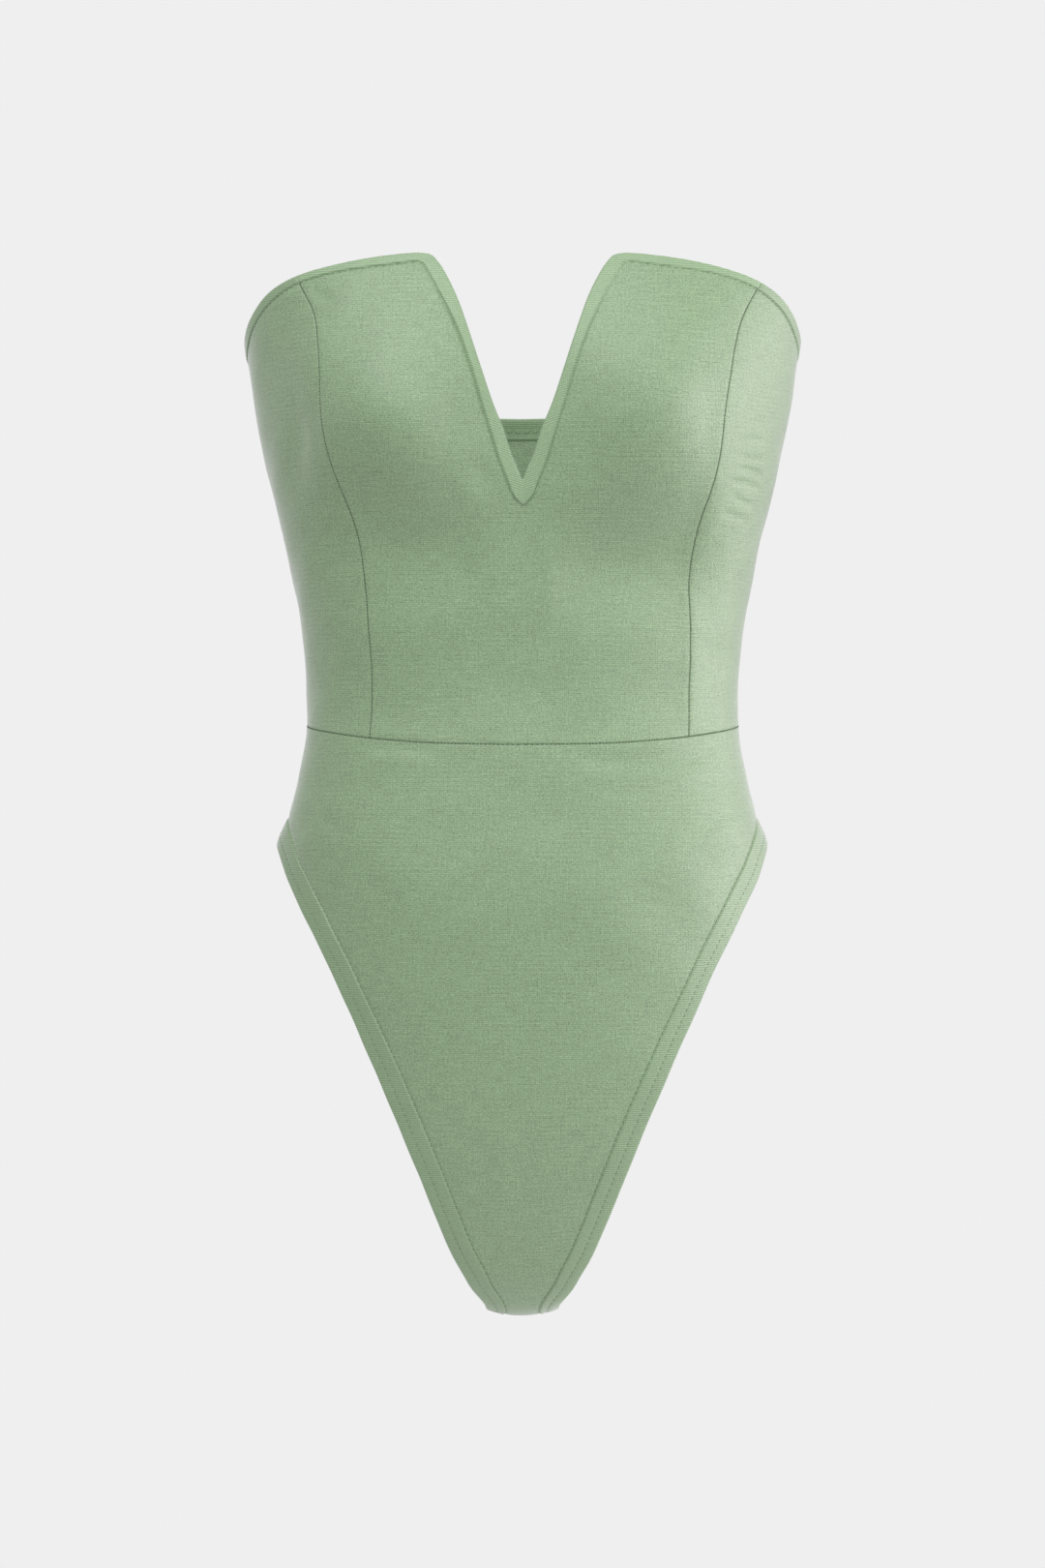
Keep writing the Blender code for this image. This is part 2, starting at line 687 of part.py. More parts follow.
def build_leg_hems(lines):
    for side, name in ((-1, "right"), (1, "left")):
        for (edge, line), place in zip(lines.leg[side], ("front", "back")):
            run = lengths(edge) if place == "back" else lengths(edge)[-1] - lengths(edge)
            flare = HIP_FLARE * np.exp(-(run / HIP_FLARE_REACH)**2)
            hem("leg_hem_" + place + "_" + name, hem_grid(edge, line, flare))


def clear_scene():
    for item in list(bpy.data.objects):
        bpy.data.objects.remove(item, do_unlink=True)


def main():
    clear_scene()
    lines = Lines()
    build_front_centre(lines)
    for side, name in ((-1, "right"), (1, "left")):
        build_front_side(lines, side, name)
    build_back_upper(lines)
    for name, row in (("front", lines.front_row), ("back", lines.back_row)):
        build_lower(lines, name + "_lower_panel", row(waist_line), row(lines.hip_row), name == "back")
    build_leg_hems(lines)


main()
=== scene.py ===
"""The looks of a strapless bodysuit with a V-notched top, sewn from fine ribless jersey.

Every panel is a thin shell on the figure that its solid is cut from: level sections make the
torso, and one rounded bowl closes it below. Panel edges roll into their seams, hems are turned
and stitched, and soft creases are placed one by one.

Front faces -Y, up is +Z, the wearer's left is +X. Lengths are in millimetres up to the last
step, which writes metres.
"""

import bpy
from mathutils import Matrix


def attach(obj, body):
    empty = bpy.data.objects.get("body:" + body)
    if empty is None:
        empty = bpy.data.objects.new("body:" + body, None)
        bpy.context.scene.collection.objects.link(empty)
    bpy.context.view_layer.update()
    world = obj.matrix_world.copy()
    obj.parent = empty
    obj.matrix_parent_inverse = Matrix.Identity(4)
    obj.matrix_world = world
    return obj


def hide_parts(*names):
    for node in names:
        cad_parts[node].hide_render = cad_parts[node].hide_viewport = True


bl_info = {
    "name": "Strapless Bodysuit",
    "version": (1, 0, 0),
    "blender": (4, 5, 0),
    "location": "3D View > Sidebar > Bodysuit",
    "description": "Builds the sewn jersey, hems, stitching and studio of a strapless bodysuit",
    "category": "Object",
}

from collections import namedtuple

import bpy
import numpy as np
from mathutils import Vector
from mathutils.kdtree import KDTree

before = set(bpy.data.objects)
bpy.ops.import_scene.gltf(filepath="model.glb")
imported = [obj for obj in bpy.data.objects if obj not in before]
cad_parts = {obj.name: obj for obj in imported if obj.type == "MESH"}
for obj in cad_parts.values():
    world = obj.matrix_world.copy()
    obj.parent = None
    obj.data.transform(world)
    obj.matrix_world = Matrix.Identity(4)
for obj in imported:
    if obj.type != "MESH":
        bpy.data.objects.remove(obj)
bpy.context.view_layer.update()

MM = 0.001


def table(columns, *rows):
    """Rows whose columns have names."""
    row = namedtuple("Row", columns)
    return [row(*values) for values in rows]


# ---------------------------------------------------------------- the figure, as in the solids
HIP_LEVEL = -292.0  # height where the leg openings start, and the widest of the hips
HIP_BLEND = 1.0  # just below it, where the sections' widths have levelled off
BOWL_DEPTH = 274.5  # from there down to the lowest point
SECTION_POWER = 2.4  # of a level section: 2 is an ellipse, more is squarer
BOWL_POWER = 2.1  # the same, for the bowl from the side

HIP_FLARE = 4.6  # how far a leg hem's edge stands off the figure at the hip
HIP_FLARE_REACH = 62.0  # along the edge, where most of that has gone

BUST_ACROSS = 80.0  # apex, from the centre line
BUST_HEIGHT = -38.0
BUST_RISE = 23.0  # fullness that the princess seams and the cut give
BUST_SPREAD = 52.0  # across
BUST_SPREAD_ABOVE = 58.0
BUST_SPREAD_BELOW = 62.0
BUST_FADE = 0.22  # last share of the half width, where the fullness fades out

GUSSET_LIFT = 0.0074  # how the gusset's edges rise between the legs, per mm across squared
GUSSET_REACH = 50.0  # front and back of the crotch seam, where that ends
GUSSET_SIDES = (120.0, 80.0)  # distances out between which it comes in
NORMAL_REACH = 0.01  # half the step that a normal is measured over
INSET_SHARES = 4  # steps in which a hem's line is moved in from its edge
SEAM_TRIES = 40  # steps to find where a princess seam meets a level line
SIDE_TURN = 90.0  # turn of the side seams
BACK_TURN = 180.0  # turn of the middle of the back
HIP_ROW_RISE = 22.0  # how far the row that starts at the leg hem's top climbs from it

# ---------------------------------------------------------------- how finely cloth is modelled
CLOTH_STEP = 2.2  # even spacing of a panel's points, in its middle
SIDE_STEP = 1.35  # and of the side fronts', which crinkle more finely
HEM_STEP = 1.6  # spacing of a hem's stations
SEAM_STEPS = (0.0, 0.2, 0.45, 0.8, 1.2, 1.8, 2.6, 3.6, 4.6, 5.3, 6.2)  # points next to a seam
TIP_STEPS = 300  # steps of the centre line, from the waist seam to the V's tip
V_STEPS = 390  # and of the V's line above it; their ratio sets how the rows run
ROUGH_CELLS = 24  # steps that a row's length is first measured in
WALE_STEPS = 17  # steps that a level's length is measured in
SEAM_DOT = 0.25  # spacing of the points that a distance to a seam is measured from
FAR = 1000.0  # a distance beyond any seam's reach
CURVE_POINTS = 400  # points of a seam or edge line before it is read
LEG_STEPS = 104  # crotch seam to side seam, along a leg hem

SECTIONS = table(
    "height half_width front back",
    (45.0, 165.0, 81.0, 92.0), (25.0, 164.0, 88.0, 97.0), (0.0, 161.0, 93.5, 102.0),
    (-40.0, 155.0, 97.0, 105.5), (-80.0, 147.0, 97.0, 104.0), (-120.0, 137.0, 94.0, 98.5),
    (-160.0, 129.2, 89.5, 92.0), (-200.0, 125.0, 86.5, 88.5), (-230.0, 125.8, 88.5, 92.0),
    (-255.0, 130.1, 92.3, 98.4), (-275.0, 135.2, 95.8, 103.5), (HIP_LEVEL, 137.6, 97.0, 105.5))
HIPS = SECTIONS[-1]

# The top edge outside the V: turn is the angle round the figure, 0 in front and 180 behind.
TOP_EDGE = table(
    "turn height hem",
    (17.5, 42.7, 5.7), (25.0, 40.8, 6.0), (37.5, 36.4, 5.0), (48.0, 31.4, 5.2), (60.0, 23.2, 6.8),
    (71.5, 12.0, 7.6), (80.0, 4.5, 8.5), (90.0, -1.5, 9.5), (105.0, -10.5, 11.0),
    (120.0, -19.0, 12.0), (140.0, -28.0, 13.0), (160.0, -33.0, 13.5), (180.0, -34.5, 13.5))

# The V: its cut edge and the line where its hem ends, from the tip up to the cup's peak.
V_NECK = table(
    "edge_across edge_height line_across line_height steps",
    (0.0, -86.5, 0.0, -100.5, 1), (1.2, -84.0, 4.5, -96.5, 1), (3.2, -79.0, 8.4, -88.0, 1),
    (6.0, -72.5, 13.0, -77.0, 2), (10.9, -57.5, 17.8, -62.0, 1), (15.5, -46.5, 22.0, -49.0, 2),
    (23.2, -24.2, 28.8, -26.5, 2), (30.5, -1.5, 36.3, -4.5, 2), (37.3, 18.0, 44.5, 14.0, 1),
    (42.5, 28.8, 50.2, 25.0, 1), (47.0, 36.3, 54.0, 31.8, 1), (51.5, 41.3, 56.2, 35.4, 1),
    (58.0, 42.7, 59.5, 37.0, 0))

# Princess seams: distance from the centre line on the wearer's right and left.
PRINCESS = table(
    "height right left",
    (36.0, 129.5, 140.0), (26.0, 125.8, 134.0), (9.0, 117.5, 125.0), (-12.0, 114.0, 119.0),
    (-48.0, 111.3, 113.4), (-75.0, 106.7, 109.5), (-110.0, 96.5, 100.5), (-140.0, 90.0, 96.0),
    (-175.0, 85.8, 94.0), (-200.0, 84.8, 93.4), (-236.0, 86.4, 94.0))

WAIST_SEAM = table(
    "turn height",
    (0.0, -235.0), (20.0, -234.0), (40.0, -231.0), (60.0, -227.3), (90.0, -223.0),
    (135.0, -224.5), (180.0, -226.0))

# A leg opening's edge: over the gusset by how far forward it is, and up each flank by height.
GUSSET_EDGE = table("forward across", (-19.0, 21.5), (-5.0, 20.8), (9.0, 21.0), (23.0, 22.2))
CROTCH_ROW = 1  # the row of GUSSET_EDGE that is on the crotch seam
LEG_FRONT = table(
    "height across",
    (-552.5, 26.0), (-547.6, 29.4), (-540.3, 33.0), (-528.5, 39.2), (-483.0, 57.5),
    (-438.3, 75.5), (-394.4, 94.5), (-350.4, 114.6), (-323.6, 127.4), (-312.7, 131.8),
    (-305.0, 134.1), (-298.5, 136.0), (-294.0, 137.25))
LEG_BACK = table(
    "height across",
    (-294.0, 137.25), (-298.5, 136.0), (-306.0, 133.6), (-317.5, 129.0), (-343.0, 117.0),
    (-385.0, 97.0), (-432.0, 76.0), (-480.0, 55.0), (-520.0, 37.5), (-545.0, 27.0))

# Width of a leg hem along its opening: share runs from the crotch seam to the side seam.
LEG_HEM = table("share width", (0.0, 11.0), (0.15, 13.5), (0.4, 14.5), (0.75, 15.0),
                (0.9, 16.5), (1.0, 15.5))

# ---------------------------------------------------------------- sewing
SEAM_FULLNESS = 0.08  # how much fuller the cloth is beside a seam
SEAM_FULLNESS_AT = 2.9  # how far from the seam that is
SEAM_FULLNESS_REACH = 1.5
ALLOWANCE = 0.75  # height of the sewn allowances inside
ALLOWANCE_WIDTH = 5.0
ALLOWANCE_EDGE = 0.7  # width of the step at their cut edge
ALLOWANCE_FOLD = 0.7  # depth of the fold between the two allowances of a seam
ALLOWANCE_FOLD_REACH = 0.6
HEM_GROOVE = 0.42  # depth of the groove that a hem's stitches pull in
HEM_GROOVE_REACH = 0.8
HEM_RISE = 1.0  # distance over which a hem gets its full thickness
HEM_FOLD = 1.6  # distance over which a hem rounds off into its folded edge
HEM_FOLD_PLACE = 0.05  # height of that edge over the figure
HEM_TIP = 0.12  # half the thickness at the edge
RAW_STEP = 0.25  # step of the turned layer's cut edge inside, which then slopes
RAW_REACH = 0.9
HEM_ROW_DIP = 0.3  # depth of the groove at a further stitch row
HEM_ROW_REACH = 0.8
V_PROUD = 0.95  # how much prouder the V's band is, below these heights
V_PROUD_FADE = (32.0, 5.0)
CHEVRON = 0.33  # how far the V's courses dip towards its tip, in mm per mm across
CHEVRON_REACH = 34.0
HEM_STEPS = (0.0, 0.12, 0.4, 0.8, 1.2, 1.6)  # points next to a hem's line and its edge
HEM_SHARES = (0.34, 0.42, 0.5, 0.58, 0.66)  # and in its middle
BACK_ROWS = (6.5, 9.4)  # stitch rows of the back's hem, by distance from its edge
LEG_ROWS = (7.0,)  # the leg hems' inner row; the other is on their line
ZIGZAG_PITCH = 2.6  # of the cover stitches inside the back's hem
COVER_GIRTH = 1.35  # and their thread against the others'
DITCH_STITCH = 1.25  # of the stitches that show in the seams
DITCH_GAP = 0.45
DITCH_GIRTH = 1.25
DITCH_RISE = 0.24  # how high they lie over the fold's bottom
THREAD_SIDES = 6
# Rings of one stitch: share along it, rise in thread radii, and girth.
THREAD_RINGS = ((0.0, -1.6, 0.5), (0.14, 0.1, 1.0), (0.5, 0.75, 1.0), (0.86, 0.1, 1.0),
                (1.0, -1.6, 0.5))

# ---------------------------------------------------------------- finishes and studio
CLOTH_MAP = "Cloth"  # flat map of the knit, in metres of cloth
SHARP_ANGLE = 60.0
GUSSET_KNIT = (-500.0, -545.0)  # heights between which the knit turns to run front to back
KNIT_WANDER_SCALE = 60.0
WALE_WANDER = 0.9
COURSE_WANDER = 1.1
LOOP_TILT = 0.3  # how far a loop's legs slant, in courses
COURSE_SHARE = 0.38  # shares of the knit's height: rows, columns
WALE_SHARE = 0.26
ROW_COURSES = 2.4  # every few courses a row stands out, in patches
ROW_SHARE = 0.2
ROW_PATCH_SCALE = 34.0
ROW_PATCH = (0.45, 0.62)
# Unevenness of the knit: the size of its patches, in metres of cloth, and its share.
GRAINS = table("width height share", (0.011, 0.0019, 1.1), (0.0017, 0.008, 1.1),
               (0.0011, 0.0010, 4.2))
KNIT_PAINTED_SHADE = 0.26  # painted shade: how much darker the knit's hollows are painted
CLOUD_SCALE = 26.0  # long clouds of colour
CLOUD_SHADE = 0.09
FUZZ_SCALE = 1900.0  # the yarn's own roughness
FUZZ_RELIEF = 0.00005
CLOTH_SPECULAR = 1.0
NAP_ROUGHNESS = 0.35
HEM_FINENESS = 1.15  # pitch of the hems' courses against the panels'
HEM_EVENNESS = 2.4  # and how much clearer they are
BAND_LIFT = 1.12  # how much paler the hem round the V is
# painted shade: the share of the thread's colour left in the seams, for the shade down in their
# folds
DITCH_PAINTED_SHADE = 0.6
TWIST_SCALE = 2400.0
TWIST_SHADE = 0.35
TWIST_RELIEF = 0.00008
THREAD_ROUGHNESS = 0.55
SENSOR = 36.0
LEVEL_VIEW = (np.pi / 2, 0.0, 0.0)  # turn of a camera that looks level along +Y
WHITE = (1.0, 1.0, 1.0)
ROSE = (1.0, 0.93, 0.99)  # takes the green out of the cloth's sheen
# Soft boxes: place and size in metres, and the colour of their light.
LAMPS = table(
    "name place size light",
    ("top", (0.0, -1.8, 1.9), (1.8, 1.8), WHITE),
    ("high", (-1.27, -1.52, 1.72), (1.8, 1.8), WHITE),
    ("front", (1.77, -2.1, 0.23), (1.8, 1.8), WHITE),
    ("key", (2.7, -0.72, 0.1), (1.8, 1.8), ROSE),
    ("side", (2.74, 0.58, -0.16), (1.8, 1.8), ROSE),
    ("rim", (-2.5, 0.95, 0.0), (1.2, 2.0), WHITE),
    ("back", (0.3, 2.3, 1.4), (1.6, 1.2), WHITE))
LIGHT_AIM = (0.0, 0.0, -0.26)
FLOOR_SIDES = 96
FLOOR_RINGS = 6
FLOOR_FADE = 0.55  # share of the floor's radius where it starts to fade
FLOOR_GRAIN = 30.0
FLOOR_GRAIN_SHADE = 0.02
FLOOR_TONE = 0.8
FLOOR_ROUGHNESS = 0.8
FLOOR_SPECULAR = 0.2

SIDES = ((-1, "right"), (1, "left"))
FACES = (("front", -1), ("back", 1))

# ---------------------------------------------------------------- creases
CREASE_TAPER = 1.4  # how softly a crease runs out at its ends
CREASE_POINTS = 12  # points of a crease's line
CREASE_REACH = 3.5  # widths from its line, where it has gone
CREASE_SHOULDER = 0.32  # rise beside a trough, as a share of its depth
CREASE_SHOULDER_AT = 1.9  # and where it is, in widths from the trough
# Soft troughs (depth below 0) and ridges, from one point to another on the front (face -1) or
# the back (face 1), by distance across and height. Bow bends the line sideways at its middle.
CREASES = table(
    "x0 z0 x1 z1 bow width depth face",
    # under the bust, and beside the V's tip
    (-114, -50, -42, -62, 0, 26, 3.8, -1), (104, -54, 34, -64, 0, 29, 2.1, -1),
    (-126, -112, -12, -130, -4, 25, -4.4, -1), (116, -124, 14, -140, 4, 26, -6.2, -1),
    (-24, -120, 26, -120, 0, 18, -1.1, -1), (-30, -74, -17, -98, 2, 6, -0.8, -1),
    (-41, -138, -29, -142, 1, 7, -0.5, -1), (62, -130, 88, -142, 3, 4.4, 0.2, -1),
    # the panels' edges, which stand a little proud along the princess seams
    (-115, 16, -110, -82, -2, 14, 1.5, -1), (-107, -84, -90, -150, 2, 10, 0.6, -1),
    (122, 10, 110, -90, 1, 11, 0.6, -1), (110, -76, 95, -148, 3, 8, 0.9, -1),
    (96, -140, 94, -234, 1, 8, 0.8, -1),
    # the sides of the cups, with crinkles on the wearer's left
    (-121, 22, -106, 14, 1, 3.4, -0.5, -1), (-127, -30, -131, -96, 3, 13, -1.0, -1),
    (122, -63, 140, -61, 1, 1.8, -0.5, -1), (119, -71, 139, -71, -1, 1.9, -0.45, -1),
    (121, -78, 138, -81, 1, 1.7, -0.55, -1), (115, -85, 137, -89, 1, 1.9, -0.5, -1),
    (118, -93, 134, -98, -1, 1.8, -0.45, -1), (111, -103, 131, -109, 1, 2.2, -0.35, -1),
    (-124, -100, -108, -118, 2, 4, 0.3, -1),
    # at the waist, and just below its seam
    (-128, -278, 122, -278, 0, 23, -2.4, -1), (24, -243, 110, -240, -3, 5.0, -0.9, -1),
    (-96, -236, -44, -240, 2, 4.2, -0.5, -1), (-118, -196, -86, -203, 3, 7, -0.4, -1),
    (86, -178, 116, -186, 3, 6, -0.4, -1), (-20, -176, 34, -181, 2, 8, -0.25, -1),
    (100, -204, 122, -199, 2, 4, 0.3, -1),
    # the hips
    (56, -312, 98, -328, -4, 15, -0.8, -1), (66, -308, 92, -312, 1, 2.4, -0.16, -1),
    (62, -315, 88, -319, 1, 2.5, -0.2, -1), (64, -323, 86, -327, 1, 2.6, -0.16, -1),
    (96, -284, 128, -272, 3, 6, -0.5, -1), (-128, -276, -92, -288, 3, 7, -0.5, -1),
    (-104, -306, -70, -324, 4, 8, -0.5, -1),
    # towards the crotch
    (-44, -456, -12, -478, 4, 7, -0.4, -1), (46, -452, 14, -476, -4, 7, -0.45, -1),
    (-30, -506, -12, -532, 2, 5, -0.4, -1), (30, -508, 13, -534, -2, 5, -0.4, -1),
    # the back
    (-92, -86, -34, -98, -5, 12, -1.6, 1), (96, -92, 44, -104, 5, 13, -1.4, 1),
    (-126, -62, -110, -84, 3, 5, -1.1, 1), (128, -70, 112, -90, -3, 5, -1.0, 1),
    (-108, -168, -30, -178, 5, 8, -1.5, 1), (104, -174, 22, -186, -6, 7, -1.3, 1),
    (-70, -192, 36, -197, 4, 6, -1.1, 1), (-52, -150, 44, -156, 4, 9, -0.8, 1),
    (-100, -212, -56, -208, 2, 5, 0.8, 1), (98, -210, 60, -213, 2, 4.6, 0.7, 1),
    (-90, -233, -22, -235, 2, 4.4, -1.1, 1), (28, -234, 84, -232, -2, 4.2, -1.0, 1),
    (-118, -290, -78, -312, 5, 9, -1.4, 1), (116, -284, 74, -308, -5, 9, -1.3, 1),
    (-60, -404, -16, -440, 6, 9, -1.2, 1), (58, -410, 18, -446, -6, 8, -1.1, 1),
    (-40, -470, -14, -502, 3, 6, -0.9, 1), (38, -474, 13, -506, -3, 6, -0.8, 1))

# Long, shallow unevenness all over: wavelengths along X, Y and Z, a phase, and a height.
SWELLS = table("x y z phase height", (83.0, 97.0, 61.0, 0.4, 0.16), (-57.0, 71.0, 88.0, 2.1, 0.13),
               (46.0, -64.0, -39.0, 4.3, 0.09), (131.0, 58.0, -34.0, 1.2, 0.10))


# ---------------------------------------------------------------- smooth curves
def smooth(knots, values, at):
    """Read a smooth curve through values at knots; its ends level off."""
    knots = np.asarray(knots, float)
    values = np.asarray(values, float)
    slopes = np.gradient(values, knots, axis=0)
    at = np.clip(np.asarray(at, float), knots[0], knots[-1])
    cell = np.clip(np.searchsorted(knots, at, side="right") - 1, 0, len(knots) - 2)
    width = knots[cell + 1] - knots[cell]
    t = (at - knots[cell]) / width
    if values.ndim > 1:
        t = t[..., None]
        width = width[..., None]
    return ((2 * t**3 - 3 * t**2 + 1) * values[cell]
            + (t**3 - 2 * t**2 + t) * width * slopes[cell]
            + (3 * t**2 - 2 * t**3) * values[cell + 1]
            + (t**3 - t**2) * width * slopes[cell + 1])


def column(rows, name):
    return np.array([getattr(row, name) for row in rows], float)


def trace(rows, key, name, at):
    """Read one column of a table smoothly by another."""
    return smooth(column(rows, key), column(rows, name), at)


def section(height, name):
    """Read one column of SECTIONS at any height; the hip keeps a level tangent."""
    rows = [HIPS._replace(height=HIP_LEVEL - HIP_BLEND)] + SECTIONS[::-1]
    return trace(rows, "height", name, np.maximum(height, HIP_LEVEL))


def lengths(points):
    """Distance from the first point to each point, along the curve."""
    steps = np.linalg.norm(np.diff(points, axis=0), axis=1)
    return np.concatenate([[0.0], np.cumsum(steps)])


def read(points, shares):
    """Points of a curve at shares of its steps, for shares of any shape."""
    at = np.asarray(shares) * (len(points) - 1)
    steps = np.arange(len(points))
    return np.stack([np.interp(at, steps, points[:, axis]) for axis in range(3)], axis=-1)


def spaced(points, count):
    """The same curve with count even steps."""
    run = lengths(points)
    at = np.linspace(0.0, run[-1], count + 1)
    return np.stack([np.interp(at, run, points[:, axis]) for axis in range(3)], axis=1)


def fade(value, start, end):
    """0 at start, 1 at end, and smooth between them."""
    share = np.clip((value - start) / (end - start), 0.0, 1.0)
    return share**2 * (3 - 2 * share)


# ---------------------------------------------------------------- the figure
def bust_fullness(x, z):
    spread = np.where(z > BUST_HEIGHT, BUST_SPREAD_ABOVE, BUST_SPREAD_BELOW)
    mound = np.exp(-((np.abs(x) - BUST_ACROSS) / BUST_SPREAD)**2 - ((z - BUST_HEIGHT) / spread)**2)
    return BUST_RISE * mound * fade(1 - np.abs(x) / section(z, "half_width"), 0.0, BUST_FADE)


def gusset_lift(x, y):
    share = np.clip(1 - np.abs(y) / GUSSET_REACH, 0.0, 1.0)
    share = share * fade(np.abs(x), *GUSSET_SIDES)
    return GUSSET_LIFT * np.minimum(np.abs(x), GUSSET_REACH)**2 * share**2


def plain(points):
    """Take the bust's fullness and the gusset's lift off points near the figure."""
    x, y, z = np.moveaxis(points, -1, 0)
    upper = z > HIP_LEVEL
    plain_y = np.where(upper & (y < 0), np.minimum(y + bust_fullness(x, z), 0.0), y)
    plain_z = np.where(upper, z, z - gusset_lift(x, y))
    return np.stack([x, plain_y, plain_z], axis=-1)


def gauge(points):
    """1 on the plain figure, less inside it and more outside."""
    x, y, z = np.moveaxis(points, -1, 0)
    depth = np.where(y < 0, section(z, "front"), section(z, "back"))
    level = np.abs(x / section(z, "half_width"))**SECTION_POWER + np.abs(y / depth)**SECTION_POWER
    drop = np.abs(np.minimum(z - HIP_LEVEL, 0.0) / BOWL_DEPTH)**BOWL_POWER
    return (level**(BOWL_POWER / SECTION_POWER) + drop)**(1 / BOWL_POWER)


def settle(points):
    """Move points onto the figure: outwards at their own level, or from the bowl's centre."""
    base = plain(np.asarray(points, float))
    size = gauge(base)
    below = np.minimum(base[..., 2] - HIP_LEVEL, 0.0)
    x = base[..., 0] / size
    y = base[..., 1] / size
    z = base[..., 2] - below + below / size
    upper = z > HIP_LEVEL
    full_y = np.where(upper & (y < 0), y - bust_fullness(x, z), y)
    full_z = np.where(upper, z, z + gusset_lift(x, y))
    return np.stack([x, full_y, full_z], axis=-1)


def outward(points):
    """Unit normals of the figure at points on it."""
    slopes = []
    for axis in range(3):
        step = np.zeros(3)
        step[axis] = NORMAL_REACH
        slopes.append(gauge(plain(points + step)) - gauge(plain(points - step)))
    normal = np.stack(slopes, axis=-1)
    return normal / np.linalg.norm(normal, axis=-1, keepdims=True)


def at_turn(turn, height, side):
    """Points of the upper figure at an angle round it, on the wearer's left (1) or right (-1)."""
    turn = np.radians(np.asarray(turn, float))
    height = np.asarray(height, float) + np.zeros_like(turn)
    power = 2 / SECTION_POWER
    front = np.cos(turn) > 0
    depth = np.where(front, section(height, "front"), section(height, "back"))
    x = section(height, "half_width") * np.abs(np.sin(turn))**power
    y = -np.sign(np.cos(turn)) * depth * np.abs(np.cos(turn))**power
    fullness = np.where(front, bust_fullness(x, height), 0.0)
    return np.stack([side * x, y - fullness, height], axis=-1)


def on_figure(across, height, face):
    """Points of the front (-1) or the back (1), by distance from the centre line and height."""
    across = np.asarray(across, float)
    height = np.asarray(height, float)
    drop = np.clip((HIP_LEVEL - height) / BOWL_DEPTH, 0.0, 1.0)
    level = (1 - drop**BOWL_POWER)**(SECTION_POWER / BOWL_POWER)
    left_over = level - np.abs(across / section(height, "half_width"))**SECTION_POWER
    depth = section(height, "front" if face < 0 else "back")
    y = face * depth * np.maximum(left_over, 0.0)**(1 / SECTION_POWER)
    if face < 0:
        y = y - np.where(height > HIP_LEVEL, bust_fullness(across, height), 0.0)
    return np.stack([across, y, height], axis=-1)


# ---------------------------------------------------------------- seam and edge lines
def top_height(turn):
    """Height of the top edge at a turn."""
    return trace(TOP_EDGE, "turn", "height", turn)


def hem_height(turn):
    """Height of the line where the top edge's hem ends."""
    return top_height(turn) - trace(TOP_EDGE, "turn", "hem", turn)


def waist_height(turn):
    return trace(WAIST_SEAM, "turn", "height", turn)


def turn_of(across, height):
    share = np.clip(np.abs(across) / section(height, "half_width"), 0.0, 1.0)
    return np.degrees(np.arcsin(share**(SECTION_POWER / 2)))


def princess_across(height, side):
    return trace(PRINCESS[::-1], "height", "left" if side > 0 else "right", height)


def princess_turn(side, line):
    """The turn at which a princess seam meets a level line, such as the waist seam."""
    turn = SIDE_TURN / 2
    for _ in range(SEAM_TRIES):
        height = line(turn)
        turn = (turn + float(turn_of(princess_across(height, side), height))) / 2
    return turn


def princess_seam(side):
    low = waist_height(princess_turn(side, waist_height))
    high = hem_height(princess_turn(side, hem_height))
    height = np.linspace(low, high, CURVE_POINTS)
    seam = on_figure(side * princess_across(height, side), height, -1)
    return settle(spaced(seam, CURVE_POINTS))


def side_seam(side, low, high):
    height = np.linspace(low, high, CURVE_POINTS)
    return at_turn(np.full(CURVE_POINTS, SIDE_TURN), height, side)


def v_lines(side):
    """The V's cut edge and its hem's line, from the rounded tip to the peak."""
    beyond = V_NECK[1]._replace(edge_across=-V_NECK[1].edge_across,
                                line_across=-V_NECK[1].line_across)
    rows = [beyond, *V_NECK]
    edge = on_figure(side * column(rows, "edge_across"), column(rows, "edge_height"), -1)
    line = on_figure(side * column(rows, "line_across"), column(rows, "line_height"), -1)
    knots = lengths((edge + line) / 2)
    places = np.concatenate([[0.0], np.cumsum(column(V_NECK, "steps")[:-1])])
    at = np.interp(np.linspace(0.0, places[-1], CURVE_POINTS), places, knots[1:])
    return settle(smooth(knots, edge, at)), settle(smooth(knots, line, at))


def top_lines(side, first, last):
    """The top edge and its hem's line between two pairs of turns."""
    edge_turn = np.linspace(first[0], last[0], CURVE_POINTS)
    line_turn = np.linspace(first[1], last[1], CURVE_POINTS)
    return (at_turn(edge_turn, top_height(edge_turn), side),
            at_turn(line_turn, hem_height(line_turn), side))


def waist_line(side, turns):
    return at_turn(turns, waist_height(turns), side)


def hip_line(side, turns, start):
    """A row of a lower panel: it leaves the side seam at start, halfway between seam and hem."""
    away = np.abs(at_turn(turns, start, side)[:, 1])
    rise = HIP_ROW_RISE * (1 - np.exp(-away / HIP_ROW_RISE))
    return at_turn(turns, start + rise, side)


def inset(points, distance):
    """Move an edge curve into its cloth: to the left of its run, seen from outside."""
    moved = points
    for _ in range(INSET_SHARES):
        run = np.gradient(moved, lengths(moved), axis=0)
        across = np.cross(outward(moved), run)
        across /= np.linalg.norm(across, axis=1, keepdims=True)
        moved = settle(moved + across * distance[:, None] / INSET_SHARES)
    return moved


def gusset_points(rows, side):
    """Points of the bowl's floor by how far forward and across they are."""
    across = column(rows, "across")
    forward = column(rows, "forward")
    depth = np.where(forward > 0, HIPS.front, HIPS.back)
    level = (across / HIPS.half_width)**SECTION_POWER + np.abs(forward / depth)**SECTION_POWER
    left_over = 1 - level**(BOWL_POWER / SECTION_POWER)
    height = HIP_LEVEL - BOWL_DEPTH * left_over**(1 / BOWL_POWER)
    return np.stack([side * across, -forward, height + gusset_lift(across, forward)], axis=1)


